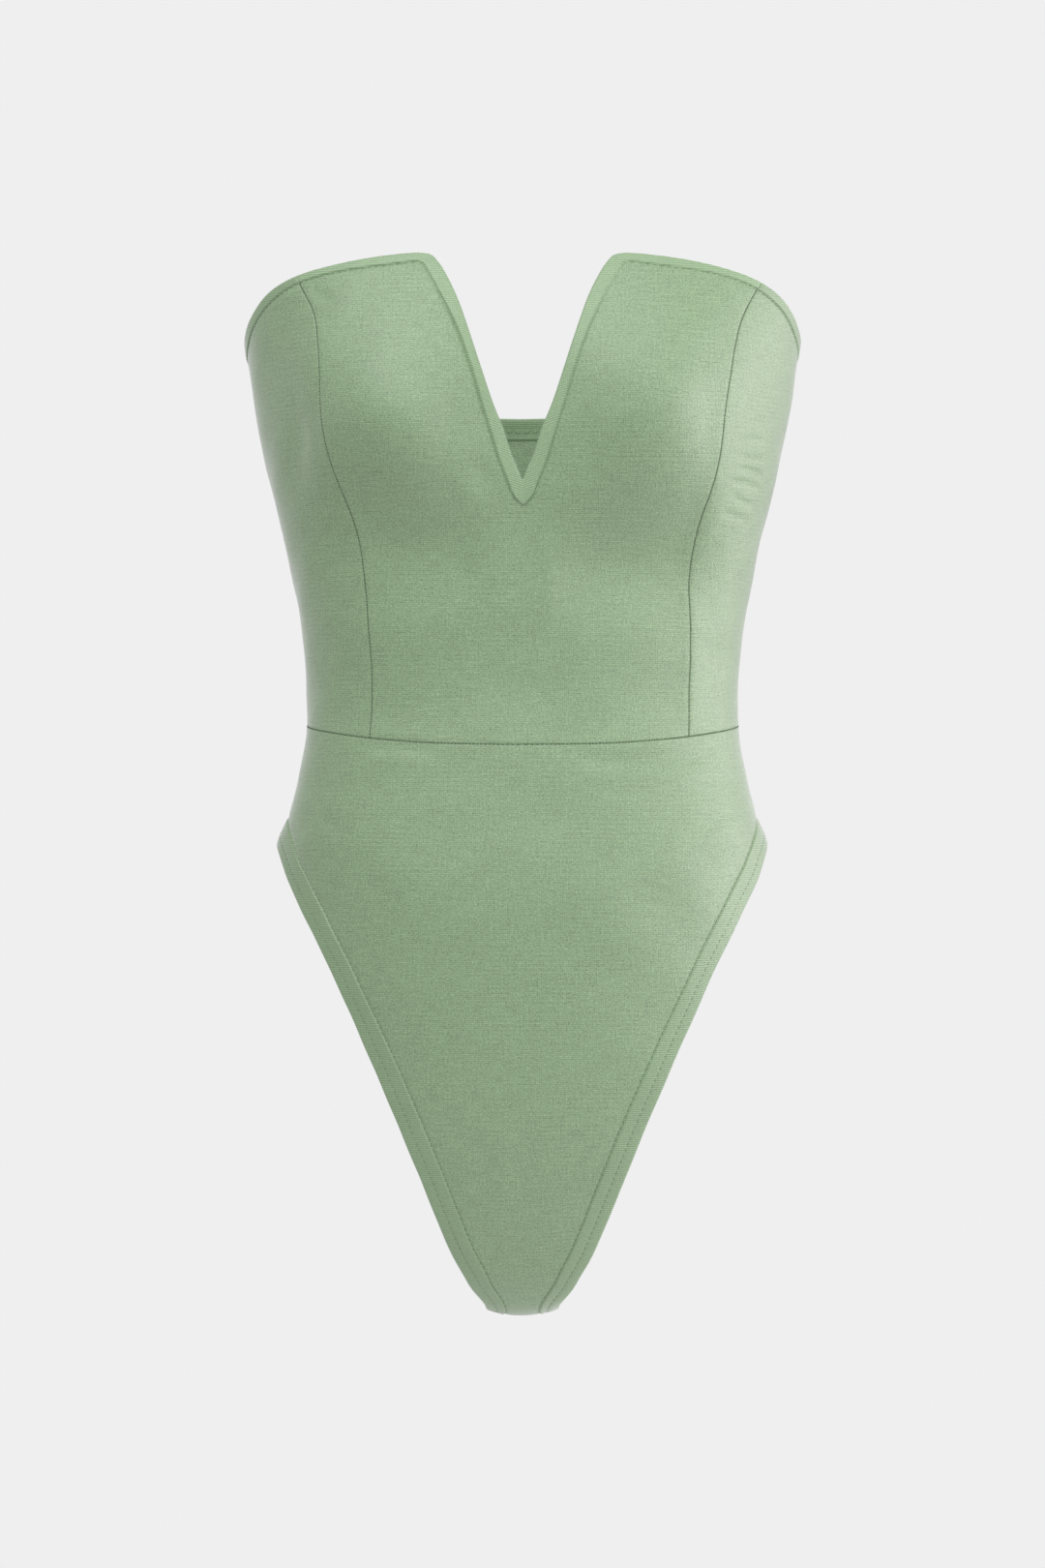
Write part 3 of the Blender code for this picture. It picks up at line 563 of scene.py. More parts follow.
def leg_lines(side):
    """A leg opening's edge and hem line, crotch to hip in front and hip to crotch behind."""
    gusset = gusset_points(GUSSET_EDGE, side)
    flanks = [on_figure(side * column(rows, "across"), column(rows, "height"), face)
              for rows, face in ((LEG_FRONT, -1), (LEG_BACK, 1))]
    hip_point = np.array([[side * HIPS.half_width, 0.0, HIP_LEVEL]])
    loop = np.concatenate([gusset[CROTCH_ROW:], flanks[0], hip_point, flanks[1],
                           gusset[:CROTCH_ROW]])
    table = settle(np.concatenate([loop[-2:], loop, loop[:3]]))
    knots = lengths(table)
    crotch = knots[2]
    hip = knots[2 + len(gusset) - CROTCH_ROW + len(LEG_FRONT)]
    end = knots[2 + len(loop)]
    front = settle(smooth(knots, table, np.linspace(crotch, hip, CURVE_POINTS)))
    back = settle(smooth(knots, table, np.linspace(hip, end, CURVE_POINTS)))
    edge = settle(np.concatenate([spaced(front, LEG_STEPS), spaced(back, LEG_STEPS)[1:]]))
    up = np.linspace(0.0, 1.0, LEG_STEPS + 1)
    width = trace(LEG_HEM, "share", "width", up)
    width = np.concatenate([width, width[-2::-1]])
    ring = np.concatenate([edge[-3:-1], edge, edge[1:3]])
    width = np.concatenate([width[-3:-1], width, width[1:3]])
    line = inset(ring, side * width)[2:-2]
    line[LEG_STEPS, 1] = 0.0
    line[LEG_STEPS] = settle(line[LEG_STEPS])
    line[-1] = line[0]
    return ((edge[:LEG_STEPS + 1], line[:LEG_STEPS + 1]), (edge[LEG_STEPS:], line[LEG_STEPS:]))


class Lines:
    """Every seam, hem line and edge that the pieces share, for both sides."""

    def __init__(self):
        self.princess, self.waist_turn, self.leg = {}, {}, {}
        self.front_top, self.side_top, self.back_top = {}, {}, {}
        peak = V_NECK[-1]
        peak_turns = (float(turn_of(peak.edge_across, peak.edge_height)),
                      float(turn_of(peak.line_across, peak.line_height)))
        for side in (-1, 1):
            seam_turns = (princess_turn(side, top_height), princess_turn(side, hem_height))
            self.princess[side] = princess_seam(side)
            self.waist_turn[side] = princess_turn(side, waist_height)
            self.front_top[side] = top_lines(side, peak_turns, seam_turns)
            self.side_top[side] = top_lines(side, seam_turns, [SIDE_TURN] * 2)
            self.back_top[side] = top_lines(side, [SIDE_TURN] * 2, [BACK_TURN] * 2)
            self.leg[side] = leg_lines(side)

    def centre_waist(self, side):
        return waist_line(side, np.linspace(0.0, self.waist_turn[side], CURVE_POINTS))

    def side_waist(self, side):
        return waist_line(side, np.linspace(self.waist_turn[side], SIDE_TURN, CURVE_POINTS))

    def side_upper(self, side):
        return side_seam(side, waist_height(SIDE_TURN), hem_height(SIDE_TURN))

    def leg_line(self, side, face):
        """A leg hem's line along the lower front or back, from the crotch seam up."""
        front, back = self.leg[side]
        return front[1] if face < 0 else back[1][::-1]

    def hip_height(self, side):
        """Height of a leg hem's line at the side seam."""
        return self.leg_line(side, -1)[-1][2]

    def side_lower(self, side):
        return side_seam(side, self.hip_height(side), waist_height(SIDE_TURN))

    def hip_row(self, side, turns):
        return hip_line(side, turns, self.hip_height(side))

    def front_row(self, level):
        """A row right across the front; level gives one side's points at its turns."""
        turns = np.linspace(0.0, SIDE_TURN, CURVE_POINTS)
        return across_centre(level(-1, turns), level(1, turns))

    def back_row(self, level):
        """The same across the back."""
        turns = np.linspace(SIDE_TURN, BACK_TURN, CURVE_POINTS)
        return across_back(level(-1, turns), level(1, turns))

    def crotch(self):
        """The crotch seam between the two leg hems, seen along the front."""
        right, left = self.leg_line(-1, -1)[0], self.leg_line(1, -1)[0]
        share = np.linspace(0.0, 1.0, CURVE_POINTS)[:, None]
        return settle(right * (1 - share) + left * share)


def across_centre(right, left):
    """Join a curve on the wearer's right to its partner on the left, through the centre."""
    return np.concatenate([right[::-1], left[1:]])


def across_back(right, left):
    """The same behind, where both curves run to the middle."""
    return np.concatenate([right, left[-2::-1]])


# ---------------------------------------------------------------- the knit's own directions
def course_place(points):
    """Length of cloth from the hips' level up to each point, along a wale."""
    x, y, z = np.moveaxis(points, -1, 0)
    depth = np.where(y < 0, HIPS.front, HIPS.back)
    by_height = np.clip((HIP_LEVEL - z + gusset_lift(x, y)) / BOWL_DEPTH, 0.0, 1.0)
    by_depth = (1 - np.clip(np.abs(y) / depth, 0.0, 1.0)**BOWL_POWER)**(1 / BOWL_POWER)
    floor = fade(z, *GUSSET_KNIT)
    drop = by_height * (1 - floor) + by_depth * floor
    drops = 1 - np.linspace(1.0, 0.0, CURVE_POINTS)**2
    profile = np.stack([HIPS.front * (1 - drops**BOWL_POWER)**(1 / BOWL_POWER),
                        BOWL_DEPTH * drops], axis=1)
    return np.where(z > HIP_LEVEL, z - HIP_LEVEL, -np.interp(drop, drops, lengths(profile)))


def wale_place(points, face):
    """Length of cloth round each point's level, from the middle of the front or the back."""
    x, y, z = np.moveaxis(points, -1, 0)
    drop = np.clip((HIP_LEVEL - z) / BOWL_DEPTH, 0.0, 1.0)
    scale = np.maximum((1 - drop**BOWL_POWER)**(1 / BOWL_POWER), NORMAL_REACH)
    half = section(z, "half_width") * scale
    depth = section(z, "front" if face < 0 else "back") * scale
    turn = np.arcsin(np.clip(np.abs(x) / half, 0.0, 1.0)**(SECTION_POWER / 2))
    steps = np.linspace(0.0, 1.0, WALE_STEPS).reshape((-1,) + (1,) * x.ndim) * turn
    ring = np.stack([half * np.sin(steps)**(2 / SECTION_POWER),
                     depth * np.cos(steps)**(2 / SECTION_POWER)], axis=-1)
    around = np.linalg.norm(np.diff(ring, axis=0), axis=-1).sum(axis=0)
    floor = fade(z, *GUSSET_KNIT)
    return np.sign(x) * (around * (1 - floor) + np.abs(x) * floor)


# ---------------------------------------------------------------- drape
def crease_line(crease):
    share = np.linspace(0.0, 1.0, CREASE_POINTS)
    along = np.array([crease.x1 - crease.x0, crease.z1 - crease.z0], float)
    aside = np.array([-along[1], along[0]]) / np.linalg.norm(along)
    flat = (np.array([crease.x0, crease.z0]) + share[:, None] * along
            + crease.bow * np.sin(np.pi * share)[:, None] * aside)
    return on_figure(flat[:, 0], flat[:, 1], crease.face)


def to_polyline(points, line):
    """Distance from each point to a polyline, and the share along it of the nearest place."""
    best = np.full(len(points), np.inf)
    share = np.zeros(len(points))
    for k, (start, end) in enumerate(zip(line[:-1], line[1:])):
        run = end - start
        t = np.clip((points - start) @ run / (run @ run), 0.0, 1.0)
        away = np.linalg.norm(points - start - t[:, None] * run, axis=1)
        closer = away < best
        best[closer] = away[closer]
        share[closer] = (k + t[closer]) / (len(line) - 1)
    return best, share


def drape(points):
    """How far the cloth stands off the figure: creases, and the long unevenness."""
    flat = points.reshape(-1, 3)
    height = np.zeros(len(flat))
    for swell in SWELLS:
        waves = flat @ (2 * np.pi / np.array([swell.x, swell.y, swell.z]))
        height += swell.height * np.sin(waves + swell.phase)
    for crease in CREASES:
        line = crease_line(crease)
        centre = line.mean(axis=0)
        reach = np.linalg.norm(line - centre, axis=1).max() + CREASE_REACH * crease.width
        near = np.linalg.norm(flat - centre, axis=1) < reach
        away, share = to_polyline(flat[near], line)
        taper = (1 - np.abs(2 * share - 1)**3)**CREASE_TAPER
        width = away / crease.width
        shape = (np.exp(-width**2)
                 - CREASE_SHOULDER * np.exp(-(width - CREASE_SHOULDER_AT)**2))
        height[near] += crease.depth * taper * shape
    return height.reshape(points.shape[:-1])


def distance(points, curves):
    """Distance from each point to the nearest of some seam or hem lines."""
    flat = points.reshape(-1, 3)
    if not curves:
        return np.full(points.shape[:-1], FAR)
    dots = np.concatenate([spaced(curve, int(lengths(curve)[-1] / SEAM_DOT) + 1)
                           for curve in curves])
    tree = KDTree(len(dots))
    for k, dot in enumerate(dots):
        tree.insert(dot, k)
    tree.balance()
    best = np.array([tree.find(point)[2] for point in flat])
    return best.reshape(points.shape[:-1])


# ---------------------------------------------------------------- patches
def seam_shares(length, cells, low=True, high=True):
    """Shares along rows of a length: close together next to a seam, and even elsewhere."""
    length = np.asarray(length, float)[..., None]
    near = np.array(SEAM_STEPS) + 0 * length
    start = near[..., -1:] if low else 0 * length
    end = length - near[..., -1:] if high else length
    middle = start + (end - start) * np.linspace(0.0, 1.0, cells + 1)
    parts = [near[..., :-1]] * low + [middle] + [length - near[..., -2::-1]] * high
    return np.concatenate(parts, axis=-1) / length


def patch(low, high, left, right, across, up):
    """Points on the figure between four curves, at shares across each row and up the rows."""
    u = across[..., None]
    v = up[:, None, None]
    corners = ((1 - u) * (1 - v) * low[0] + u * (1 - v) * low[-1]
               + (1 - u) * v * high[0] + u * v * high[-1])
    return settle((1 - v) * read(low, across) + v * read(high, across)
                  + (1 - u) * read(left, up)[:, None] + u * read(right, up)[:, None] - corners)


def row_lengths(low, high, left, right, up):
    rough = np.broadcast_to(np.linspace(0.0, 1.0, ROUGH_CELLS + 1), (len(up), ROUGH_CELLS + 1))
    grid = patch(low, high, left, right, rough, up)
    return np.linalg.norm(np.diff(grid, axis=1), axis=2).sum(axis=1)


def cells_for(length, step=CLOTH_STEP):
    return int(round(length / step))


def cloth_grid(low, high, left, right, up, step=CLOTH_STEP):
    """A panel's grid, even in its middle and close together along its sides."""
    across = row_lengths(low, high, left, right, up)
    return patch(low, high, left, right, seam_shares(across, cells_for(across.max(), step)), up)


def split_rows(below, above):
    """Shares up two parts of a panel that meet away from any seam."""
    return (seam_shares(below, cells_for(below), high=False),
            seam_shares(above, cells_for(above), low=False))


# ---------------------------------------------------------------- shells
def placed(name, data, place=(0.0, 0.0, 0.0), turn=(0.0, 0.0, 0.0)):
    """A new object in the scene."""
    made = bpy.data.objects.new(name, data)
    made.location = place
    made.rotation_euler = turn
    bpy.context.scene.collection.objects.link(made)
    return made


def quads(index):
    """Four-sided faces of a grid of point numbers."""
    return np.stack([index[:-1, :-1], index[:-1, 1:], index[1:, 1:], index[1:, :-1]],
                    axis=-1).reshape(-1, 4)


def facing_out(faces, points, normals):
    """The same faces, turned over where they would face inwards."""
    a, b, c = points[faces[:, 0]], points[faces[:, 1]], points[faces[:, 2]]
    inward = np.sum(np.cross(b - a, c - b) * normals[faces[:, 0]], axis=1).sum() < 0
    return faces[:, ::-1] if inward else faces


def closed_shell(name, outer, inner, faces, place, cloth):
    """A thin closed piece: outer and inner faces, and a wall round every open edge.

    Place is each point's place on the flat knit.
    """
    count = len(outer)
    sides = np.concatenate([faces[:, [k, (k + 1) % 4]] for k in range(4)])
    forth = sides[:, 0] * count + sides[:, 1]
    back = sides[:, 1] * count + sides[:, 0]
    rim = sides[~np.isin(forth, back)]
    wall = np.stack([rim[:, 1], rim[:, 0], rim[:, 0] + count, rim[:, 1] + count], axis=1)
    shape = np.concatenate([faces, faces[:, ::-1] + count, wall])
    points = np.concatenate([outer, inner]) * MM
    piece = sewn_object(name, points, shape.tolist(), cloth)
    place = (np.concatenate([place, place]) * MM)[shape.ravel()]
    layer = piece.data.uv_layers.new(name=CLOTH_MAP)
    layer.data.foreach_set("uv", place.astype(np.float32).ravel())
    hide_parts(name)
    return piece


def sewn_object(name, points, shape, cloth):
    mesh = bpy.data.meshes.new(name + "_cloth")
    mesh.from_pydata(points.tolist(), [], shape)
    mesh.shade_smooth()
    mesh.set_sharp_from_angle(angle=np.radians(SHARP_ANGLE))
    mesh.materials.append(cloth)
    piece = placed(name + "_cloth", mesh)
    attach(piece, "root")
    return piece


def bell(value, reach):
    return np.exp(-(value / reach)**2)


def seam_offset(away, sewing):
    """The outer face next to a seam: it rolls in, and is fuller just beside it."""
    depth = sewing.seam_depth / MM
    return (SEAM_FULLNESS * bell(away - SEAM_FULLNESS_AT, SEAM_FULLNESS_REACH)
            - depth * bell(away, sewing.seam_width / MM))


def allowance_offset(away):
    """The inner face next to a seam: the sewn allowances, with the seam's fold between."""
    band = ALLOWANCE * fade(away, ALLOWANCE_WIDTH + ALLOWANCE_EDGE, ALLOWANCE_WIDTH)
    return ALLOWANCE_FOLD * bell(away, ALLOWANCE_FOLD_REACH) - band


def numbered(shape):
    return np.arange(shape[0] * shape[1]).reshape(shape)


def raised(grid, normal, height):
    """A grid's points, in rows of three, raised along their normals."""
    return (grid + normal * height[..., None]).reshape(-1, 3)


def knit_place(grid, face, dip=0.0):
    """Each point's place on the flat knit, dip lower than it is worn."""
    return np.stack([wale_place(grid, face), course_place(grid) - dip], axis=-1).reshape(-1, 2)


def panel(name, grids, seams, hems, face, shared=None):
    """One cut piece of some grids, with its worn width and length; face is -1 in front.

    Seams and hems are its lines, and shared counts the rows that two grids have in common.
    """
    sewing = bpy.context.scene.bodysuit_sewing
    outer_half = sewing.cloth_out / MM
    inner_half = sewing.cloth_in / MM
    outer, inner, normals, places, faces = [], [], [], [], []
    wide, tall = 0.0, 0.0
    start = 0
    first = None
    for grid in grids:
        normal = outward(grid)
        seam = distance(grid, seams)
        hem = distance(grid, hems)
        lie = drape(grid)
        out = (outer_half + lie + seam_offset(seam, sewing)
               - HEM_GROOVE * bell(hem, HEM_GROOVE_REACH))
        into = lie - inner_half + allowance_offset(seam)
        index = start + numbered(grid.shape[:2])
        if first is not None and shared:
            index[:shared, 0] = first[:shared, 0]
        outer.append(raised(grid, normal, out))
        inner.append(raised(grid, normal, into))
        normals.append(normal.reshape(-1, 3))
        places.append(knit_place(grid, face))
        faces.append(facing_out(quads(index), np.concatenate(outer), np.concatenate(normals)))
        first = index if first is None else first
        start += index.size
        across, up = [np.linalg.norm(np.diff(grid, axis=k), axis=2).sum(axis=k) for k in (1, 0)]
        wide += across.max()
        tall = max(tall, up.max())
    faces, outer, inner, places = used_only(np.concatenate(faces), np.concatenate(outer),
                                            np.concatenate(inner), np.concatenate(places))
    piece = closed_shell(name, outer, inner, faces, places, jersey_finish())
    return piece, (wide, tall)


def used_only(faces, *tables):
    """Drop the rows of the tables that no face uses."""
    kept, numbers = np.unique(faces, return_inverse=True)
    return (numbers.reshape(faces.shape), *[table[kept] for table in tables])


# ---------------------------------------------------------------- hems
class Band:
    """A turned hem, read by share along it and by distance from its line.

    Rows are stitch rows' distances from its edge, and ends the seams that it meets.
    """

    def __init__(self, edge, line, rows=(), flare=0.0, proud=0.0):
        self.edge = edge
        self.line = line
        self.rows = rows
        self.flare = flare + np.zeros(len(edge))
        self.proud = proud + np.zeros(len(edge))
        self.ends = [np.stack([line[end], edge[end]]) for end in (0, -1)]

    def width(self, along):
        return np.linalg.norm(read(self.edge, along) - read(self.line, along), axis=-1)

    def length(self):
        return lengths((self.edge + self.line) / 2)[-1]

    def points(self, along, share):
        """Places at shares along (rows) and shares from the line to the edge (columns)."""
        share = share[..., None]
        return settle(read(self.line, along)[:, None] * (1 - share)
                      + read(self.edge, along)[:, None] * share)

    def read(self, values, along):
        return np.interp(np.asarray(along) * (len(values) - 1), np.arange(len(values)), values)

    def lift(self, along, share):
        return self.read(self.flare, along)[:, None] * share


def hem_columns(width):
    """Shares across a hem from its line to its edge, close together at both."""
    width = width[:, None]
    near = np.array(HEM_STEPS) + 0 * width
    middle = width * np.array(HEM_SHARES)
    return np.sort(np.concatenate([near, middle, width - near], axis=1), axis=1) / width


def hem_profile(from_line, from_edge, rows, proud, sewing):
    """Offsets of a hem's outer and inner faces."""
    full = sewing.hem_out / MM + proud
    start = sewing.cloth_out / MM - HEM_GROOVE
    outer = start + (full - start) * fade(from_line, 0.0, HEM_RISE)
    cut = (sewing.cloth_in / MM + RAW_STEP, sewing.hem_in / MM)
    inner = -cut[0] - (cut[1] - cut[0]) * fade(from_line, 0.0, RAW_REACH)
    for row in rows:
        dip = bell(from_edge - row, HEM_ROW_REACH)
        outer = outer - HEM_ROW_DIP * dip
        inner = inner + HEM_ROW_DIP * dip
    fold = np.sqrt(1 - (1 - np.clip(from_edge / HEM_FOLD, 0.0, 1.0))**2)
    return (HEM_FOLD_PLACE + HEM_TIP + (outer - HEM_FOLD_PLACE - HEM_TIP) * fold,
            HEM_FOLD_PLACE - HEM_TIP + (inner - HEM_FOLD_PLACE + HEM_TIP) * fold)


def hem_offsets(band, along, share):
    """A hem's points on the figure, their normals, and the offsets of its two faces."""
    sewing = bpy.context.scene.bodysuit_sewing
    grid = band.points(along, share)
    width = band.width(along)[:, None]
    proud = band.read(band.proud, along)[:, None]
    outer, inner = hem_profile(share * width, (1 - share) * width, band.rows, proud, sewing)
    seam = distance(grid, band.ends)
    base = drape(grid) + band.lift(along, share)
    taper = fade((1 - share) * width, 0.0, HEM_FOLD)
    outer = outer + base + seam_offset(seam, sewing) * taper
    inner = inner + base + ALLOWANCE_FOLD * bell(seam, ALLOWANCE_FOLD_REACH) * taper
    return grid, outward(grid), outer, inner


def hem(name, band, face, finish_of=None):
    """The closed shell of one hem."""
    length = band.length()
    along = seam_shares(length, int(round(length / HEM_STEP)))
    share = hem_columns(band.width(along))
    grid, normal, outer, inner = hem_offsets(band, along, share)
    outer = raised(grid, normal, outer)
    inner = raised(grid, normal, inner)
    faces = facing_out(quads(numbered(grid.shape[:2])), outer, normal.reshape(-1, 3))
    dip = CHEVRON * np.minimum(np.abs(grid[..., 0]), CHEVRON_REACH) * (face < 0)
    place = knit_place(grid, face, dip)
    piece = closed_shell(name, outer, inner, faces, place, (finish_of or hem_finish)())
    return piece


# ---------------------------------------------------------------- stitches
def thread(name, runs, girth=1.0, finish_of=None):
    """Short lengths of thread, each rising out of the cloth and back.

    A run is the starts, ends and normals of a row of them; girth is against the thread's width.
    """
    starts, ends, normals = [np.concatenate(parts) for parts in zip(*runs)]
    radius = bpy.context.scene.bodysuit_sewing.thread_width / MM / 2 * girth
    run = ends - starts
    aside = np.cross(run, normals)
    aside /= np.linalg.norm(aside, axis=1, keepdims=True)
    turns = np.linspace(0.0, 2 * np.pi, THREAD_SIDES, endpoint=False)
    rings = []
    for along, rise, share in THREAD_RINGS:
        middle = starts + run * along + normals * rise * radius
        for turn in turns:
            rings.append(middle + share * radius * (np.cos(turn) * aside + np.sin(turn) * normals))
    points = np.stack(rings, axis=1)
    index = numbered((len(THREAD_RINGS), THREAD_SIDES))
    index = np.concatenate([index, index[:, :1]], axis=1)
    caps = np.stack([index[0, :-1], index[-1, -2::-1]])
    first = (np.arange(len(points)) * points.shape[1])[:, None, None]
    shape = [face for faces in (quads(index)[:, ::-1], caps)
             for face in (first + faces).reshape(-1, faces.shape[1]).tolist()]
    piece = sewn_object(name, points.reshape(-1, 3) * MM, shape, (finish_of or thread_finish)())
    return piece


def stitch_shares(length, stitch, gap):
    """The shares of a run at which its stitches start, and those at which they end."""
    count = int(length / (stitch + gap))
    share = stitch / (stitch + gap)
    first = (np.arange(count) + (1 - share) / 2) / count
    return first, first + share / count


def stitch_run(band, row=None):
    """Outside stitches on a hem's line, or on a row at a distance from its edge."""
    sewing = bpy.context.scene.bodysuit_sewing
    ends = []
    for along in stitch_shares(band.length(), sewing.stitch_length / MM, sewing.stitch_gap / MM):
        width = band.width(along)
        across = 0 * width if row is None else 1 - row / width
        grid, normal, outer, _ = hem_offsets(band, along, across[:, None])
        ends.append(raised(grid, normal, outer))
    return *ends, normal[:, 0]


def zigzag_run(band, near, far):
    """Stitches inside a hem that cross to and fro between two distances from its edge."""
    count = int(band.length() / ZIGZAG_PITCH) * 2
    along = np.linspace(0.0, 1.0, count + 1)
    width = band.width(along)
    distances = np.where(np.arange(count + 1) % 2, near, far)
    across = (1 - distances / width)[:, None]
    grid, normal, _, inner = hem_offsets(band, along, across)
    points = raised(grid, normal, inner)
    return points[:-1], points[1:], -normal[:-1, 0]


def ditch_run(seam):
    """Stitches that show down in a seam's fold, where it is pulled open."""
    sewing = bpy.context.scene.bodysuit_sewing
    rise = (sewing.cloth_out - sewing.seam_depth) / MM + DITCH_RISE
    ends = []
    for along in stitch_shares(lengths(seam)[-1], DITCH_STITCH, DITCH_GAP):
        points = settle(read(seam, along))
        normal = outward(points)
        ends.append(raised(points, normal, rise + drape(points)))
    return *ends, normal


def ditch_stitches(name, seams):
    return thread(name, [ditch_run(seam) for seam in seams], DITCH_GIRTH, ditch_finish)


# ---------------------------------------------------------------- finishes
def plug(tree, sockets, values):
    """Give each socket a value, or link another node's output to it."""
    for socket, value in zip(sockets, values):
        if isinstance(value, bpy.types.NodeSocket):
            tree.links.new(value, socket)
        else:
            socket.default_value = value


def node(tree, kind, inputs=None, **fields):
    """Add a node with some inputs, by name or number."""
    made = tree.nodes.new("ShaderNode" + kind)
    for field, value in fields.items():
        setattr(made, field, value)
    inputs = inputs or {}
    plug(tree, [made.inputs[name] for name in inputs], inputs.values())
    return made


def maths(tree, operation, *values):
    made = node(tree, "Math", operation=operation)
    plug(tree, made.inputs, values)
    return made.outputs[0]


def add_share(tree, value, share, base):
    """A share of a value on top of a base."""
    return maths(tree, "MULTIPLY_ADD", value, share, base)


def noise(tree, vector, scale, detail=2.0):
    return node(tree, "TexNoise", {"Vector": vector, "Scale": scale, "Detail": detail}).outputs[0]


def about_zero(tree, value):
    return maths(tree, "SUBTRACT", value, 0.5)


def solid_place(tree):
    return node(tree, "TexCoord").outputs["Object"]


def blank(made):
    """The emptied node tree of a new material or room."""
    made.use_nodes = True
    made.node_tree.nodes.clear()
    return made.node_tree


def surface(tree, inputs):
    shader = node(tree, "BsdfPrincipled", inputs)
    node(tree, "OutputMaterial", {"Surface": shader.outputs[0]})


def shaded(tree, colour, shade):
    """A colour times a brightness."""
    return node(tree, "VectorMath", {0: tuple(colour), "Scale": shade}, operation="SCALE").outputs[0]


def knit_height(tree, knit, fineness, evenness):
    """Height of the knit's face, about -1 to 1: small loops, and rows and columns that vary."""
    turn = 2 * np.pi
    place = node(tree, "UVMap", uv_map=CLOTH_MAP).outputs[0]
    solid = solid_place(tree)
    across, up = node(tree, "SeparateXYZ", {0: place}).outputs[:2]
    wander = about_zero(tree, noise(tree, solid, KNIT_WANDER_SCALE))
    wale = maths(tree, "DIVIDE", across, knit.wale_pitch)
    wale = add_share(tree, wander, WALE_WANDER, wale)
    loop = maths(tree, "ABSOLUTE", about_zero(tree, maths(tree, "FRACT", wale)))
    course = maths(tree, "DIVIDE", up, knit.course_pitch * fineness)
    course = add_share(tree, wander, COURSE_WANDER, course)
    course = add_share(tree, loop, LOOP_TILT, course)
    courses = maths(tree, "SINE", maths(tree, "MULTIPLY", course, turn))
    wales = maths(tree, "COSINE", maths(tree, "MULTIPLY", wale, turn))
    rows = maths(tree, "SINE", maths(tree, "MULTIPLY", course, turn / ROW_COURSES))
    clear = node(tree, "MapRange", {
        "Value": noise(tree, solid, ROW_PATCH_SCALE), "From Min": ROW_PATCH[0],
        "From Max": ROW_PATCH[1]}, interpolation_type="SMOOTHSTEP").outputs[0]
    height = maths(tree, "MULTIPLY", courses, COURSE_SHARE * evenness)
    height = add_share(tree, wales, WALE_SHARE, height)
    height = add_share(tree, maths(tree, "MULTIPLY", rows, clear), ROW_SHARE / evenness, height)
    for grain in GRAINS:
        spread = node(tree, "VectorMath", {0: place, 1: (1 / grain.width, 1 / grain.height, 0.0)},
                      operation="MULTIPLY").outputs[0]
        uneven = about_zero(tree, noise(tree, spread, 1.0, 1.0))
        height = add_share(tree, uneven, grain.share / evenness, height)
    return height


def cloth_finish(name, colour, fineness=1.0, evenness=1.0):
    """A soft matt jersey: uneven courses in relief and, as painted shade in their hollows, in
    colour; random clouds of tone; and a short nap.
    """
    knit = bpy.context.scene.bodysuit_knit
    made = bpy.data.materials.new(name)
    tree = blank(made)
    height = knit_height(tree, knit, fineness, evenness)
    solid = solid_place(tree)
    cloud = about_zero(tree, noise(tree, solid, CLOUD_SCALE))
    # painted shade: the knit is painted darker where its relief is low, on top of random clouds of
    # tone
    shade = add_share(tree, cloud, CLOUD_SHADE, add_share(tree, height, KNIT_PAINTED_SHADE, 1.0))
    bump = node(tree, "Bump", {"Height": height, "Distance": knit.relief})
    bump = node(tree, "Bump", {"Height": noise(tree, solid, FUZZ_SCALE, 1.0),
                               "Distance": FUZZ_RELIEF, "Normal": bump.outputs[0]})
    surface(tree, {
        "Base Color": shaded(tree, colour, shade), "Roughness": knit.roughness,
        "Normal": bump.outputs[0], "Specular IOR Level": CLOTH_SPECULAR,
        "Sheen Weight": knit.nap, "Sheen Roughness": NAP_ROUGHNESS, "Sheen Tint": (*WHITE, 1.0)})
    made.diffuse_color = (*colour, 1.0)
    return made


def yarn_finish(name, colour):
    """Twisted sewing thread."""
    made = bpy.data.materials.new(name)
    tree = blank(made)
    twist = noise(tree, solid_place(tree), TWIST_SCALE)
    shade = add_share(tree, twist, TWIST_SHADE, 1 - TWIST_SHADE / 2)
    bump = node(tree, "Bump", {"Height": twist, "Distance": TWIST_RELIEF})
    surface(tree, {"Base Color": shaded(tree, colour, shade), "Roughness": THREAD_ROUGHNESS,
                   "Normal": bump.outputs[0]})
    return made


def finish(name, make, colour, lift, *values):
    """A finish by name, made once, in a colour that is lifted."""
    return (bpy.data.materials.get(name)
            or make(name, [part * lift for part in colour], *values))


def jersey_finish():
    return finish("sage_jersey", cloth_finish, bpy.context.scene.bodysuit_knit.jersey, 1.0)


def hem_finish(name="sage_hem_jersey", lift=1.0):
    return finish(name, cloth_finish, bpy.context.scene.bodysuit_knit.hem, lift,
                  HEM_FINENESS, HEM_EVENNESS)


def band_finish():
    """The hem round the V, a little paler."""
    return hem_finish("sage_band_jersey", BAND_LIFT)


def thread_finish(name="sage_thread", lift=1.0):
    # painted shade: the thread is darker than the cloth, standing in for the shadows round its
    # stitches
    return finish(name, yarn_finish, bpy.context.scene.bodysuit_knit.thread, lift)


def ditch_finish():
    """The same thread, painted darker still for the shade down in a seam's fold."""
    return thread_finish("sage_seam_thread", DITCH_PAINTED_SHADE)


# ---------------------------------------------------------------- sizes that a user may change
def colour_of(name, description, default):
    return bpy.props.FloatVectorProperty(
        name=name, description="Colour of " + description, subtype="COLOR", size=3,
        min=0.0, max=1.0, default=default)


def length_of(name, description, default, low, high):
    return bpy.props.FloatProperty(
        name=name, description=description, subtype="DISTANCE", unit="LENGTH",
        default=default, min=low, max=high, precision=6)


def factor_of(name, description, default, low=0.0, high=1.0):
    return bpy.props.FloatProperty(
        name=name, description=description, subtype="FACTOR", default=default, min=low, max=high)


def power_of(name, place, default):
    return bpy.props.FloatProperty(
        name=name + " light", description="Power of the soft box " + place,
        subtype="POWER", unit="POWER", default=default, min=0.0)


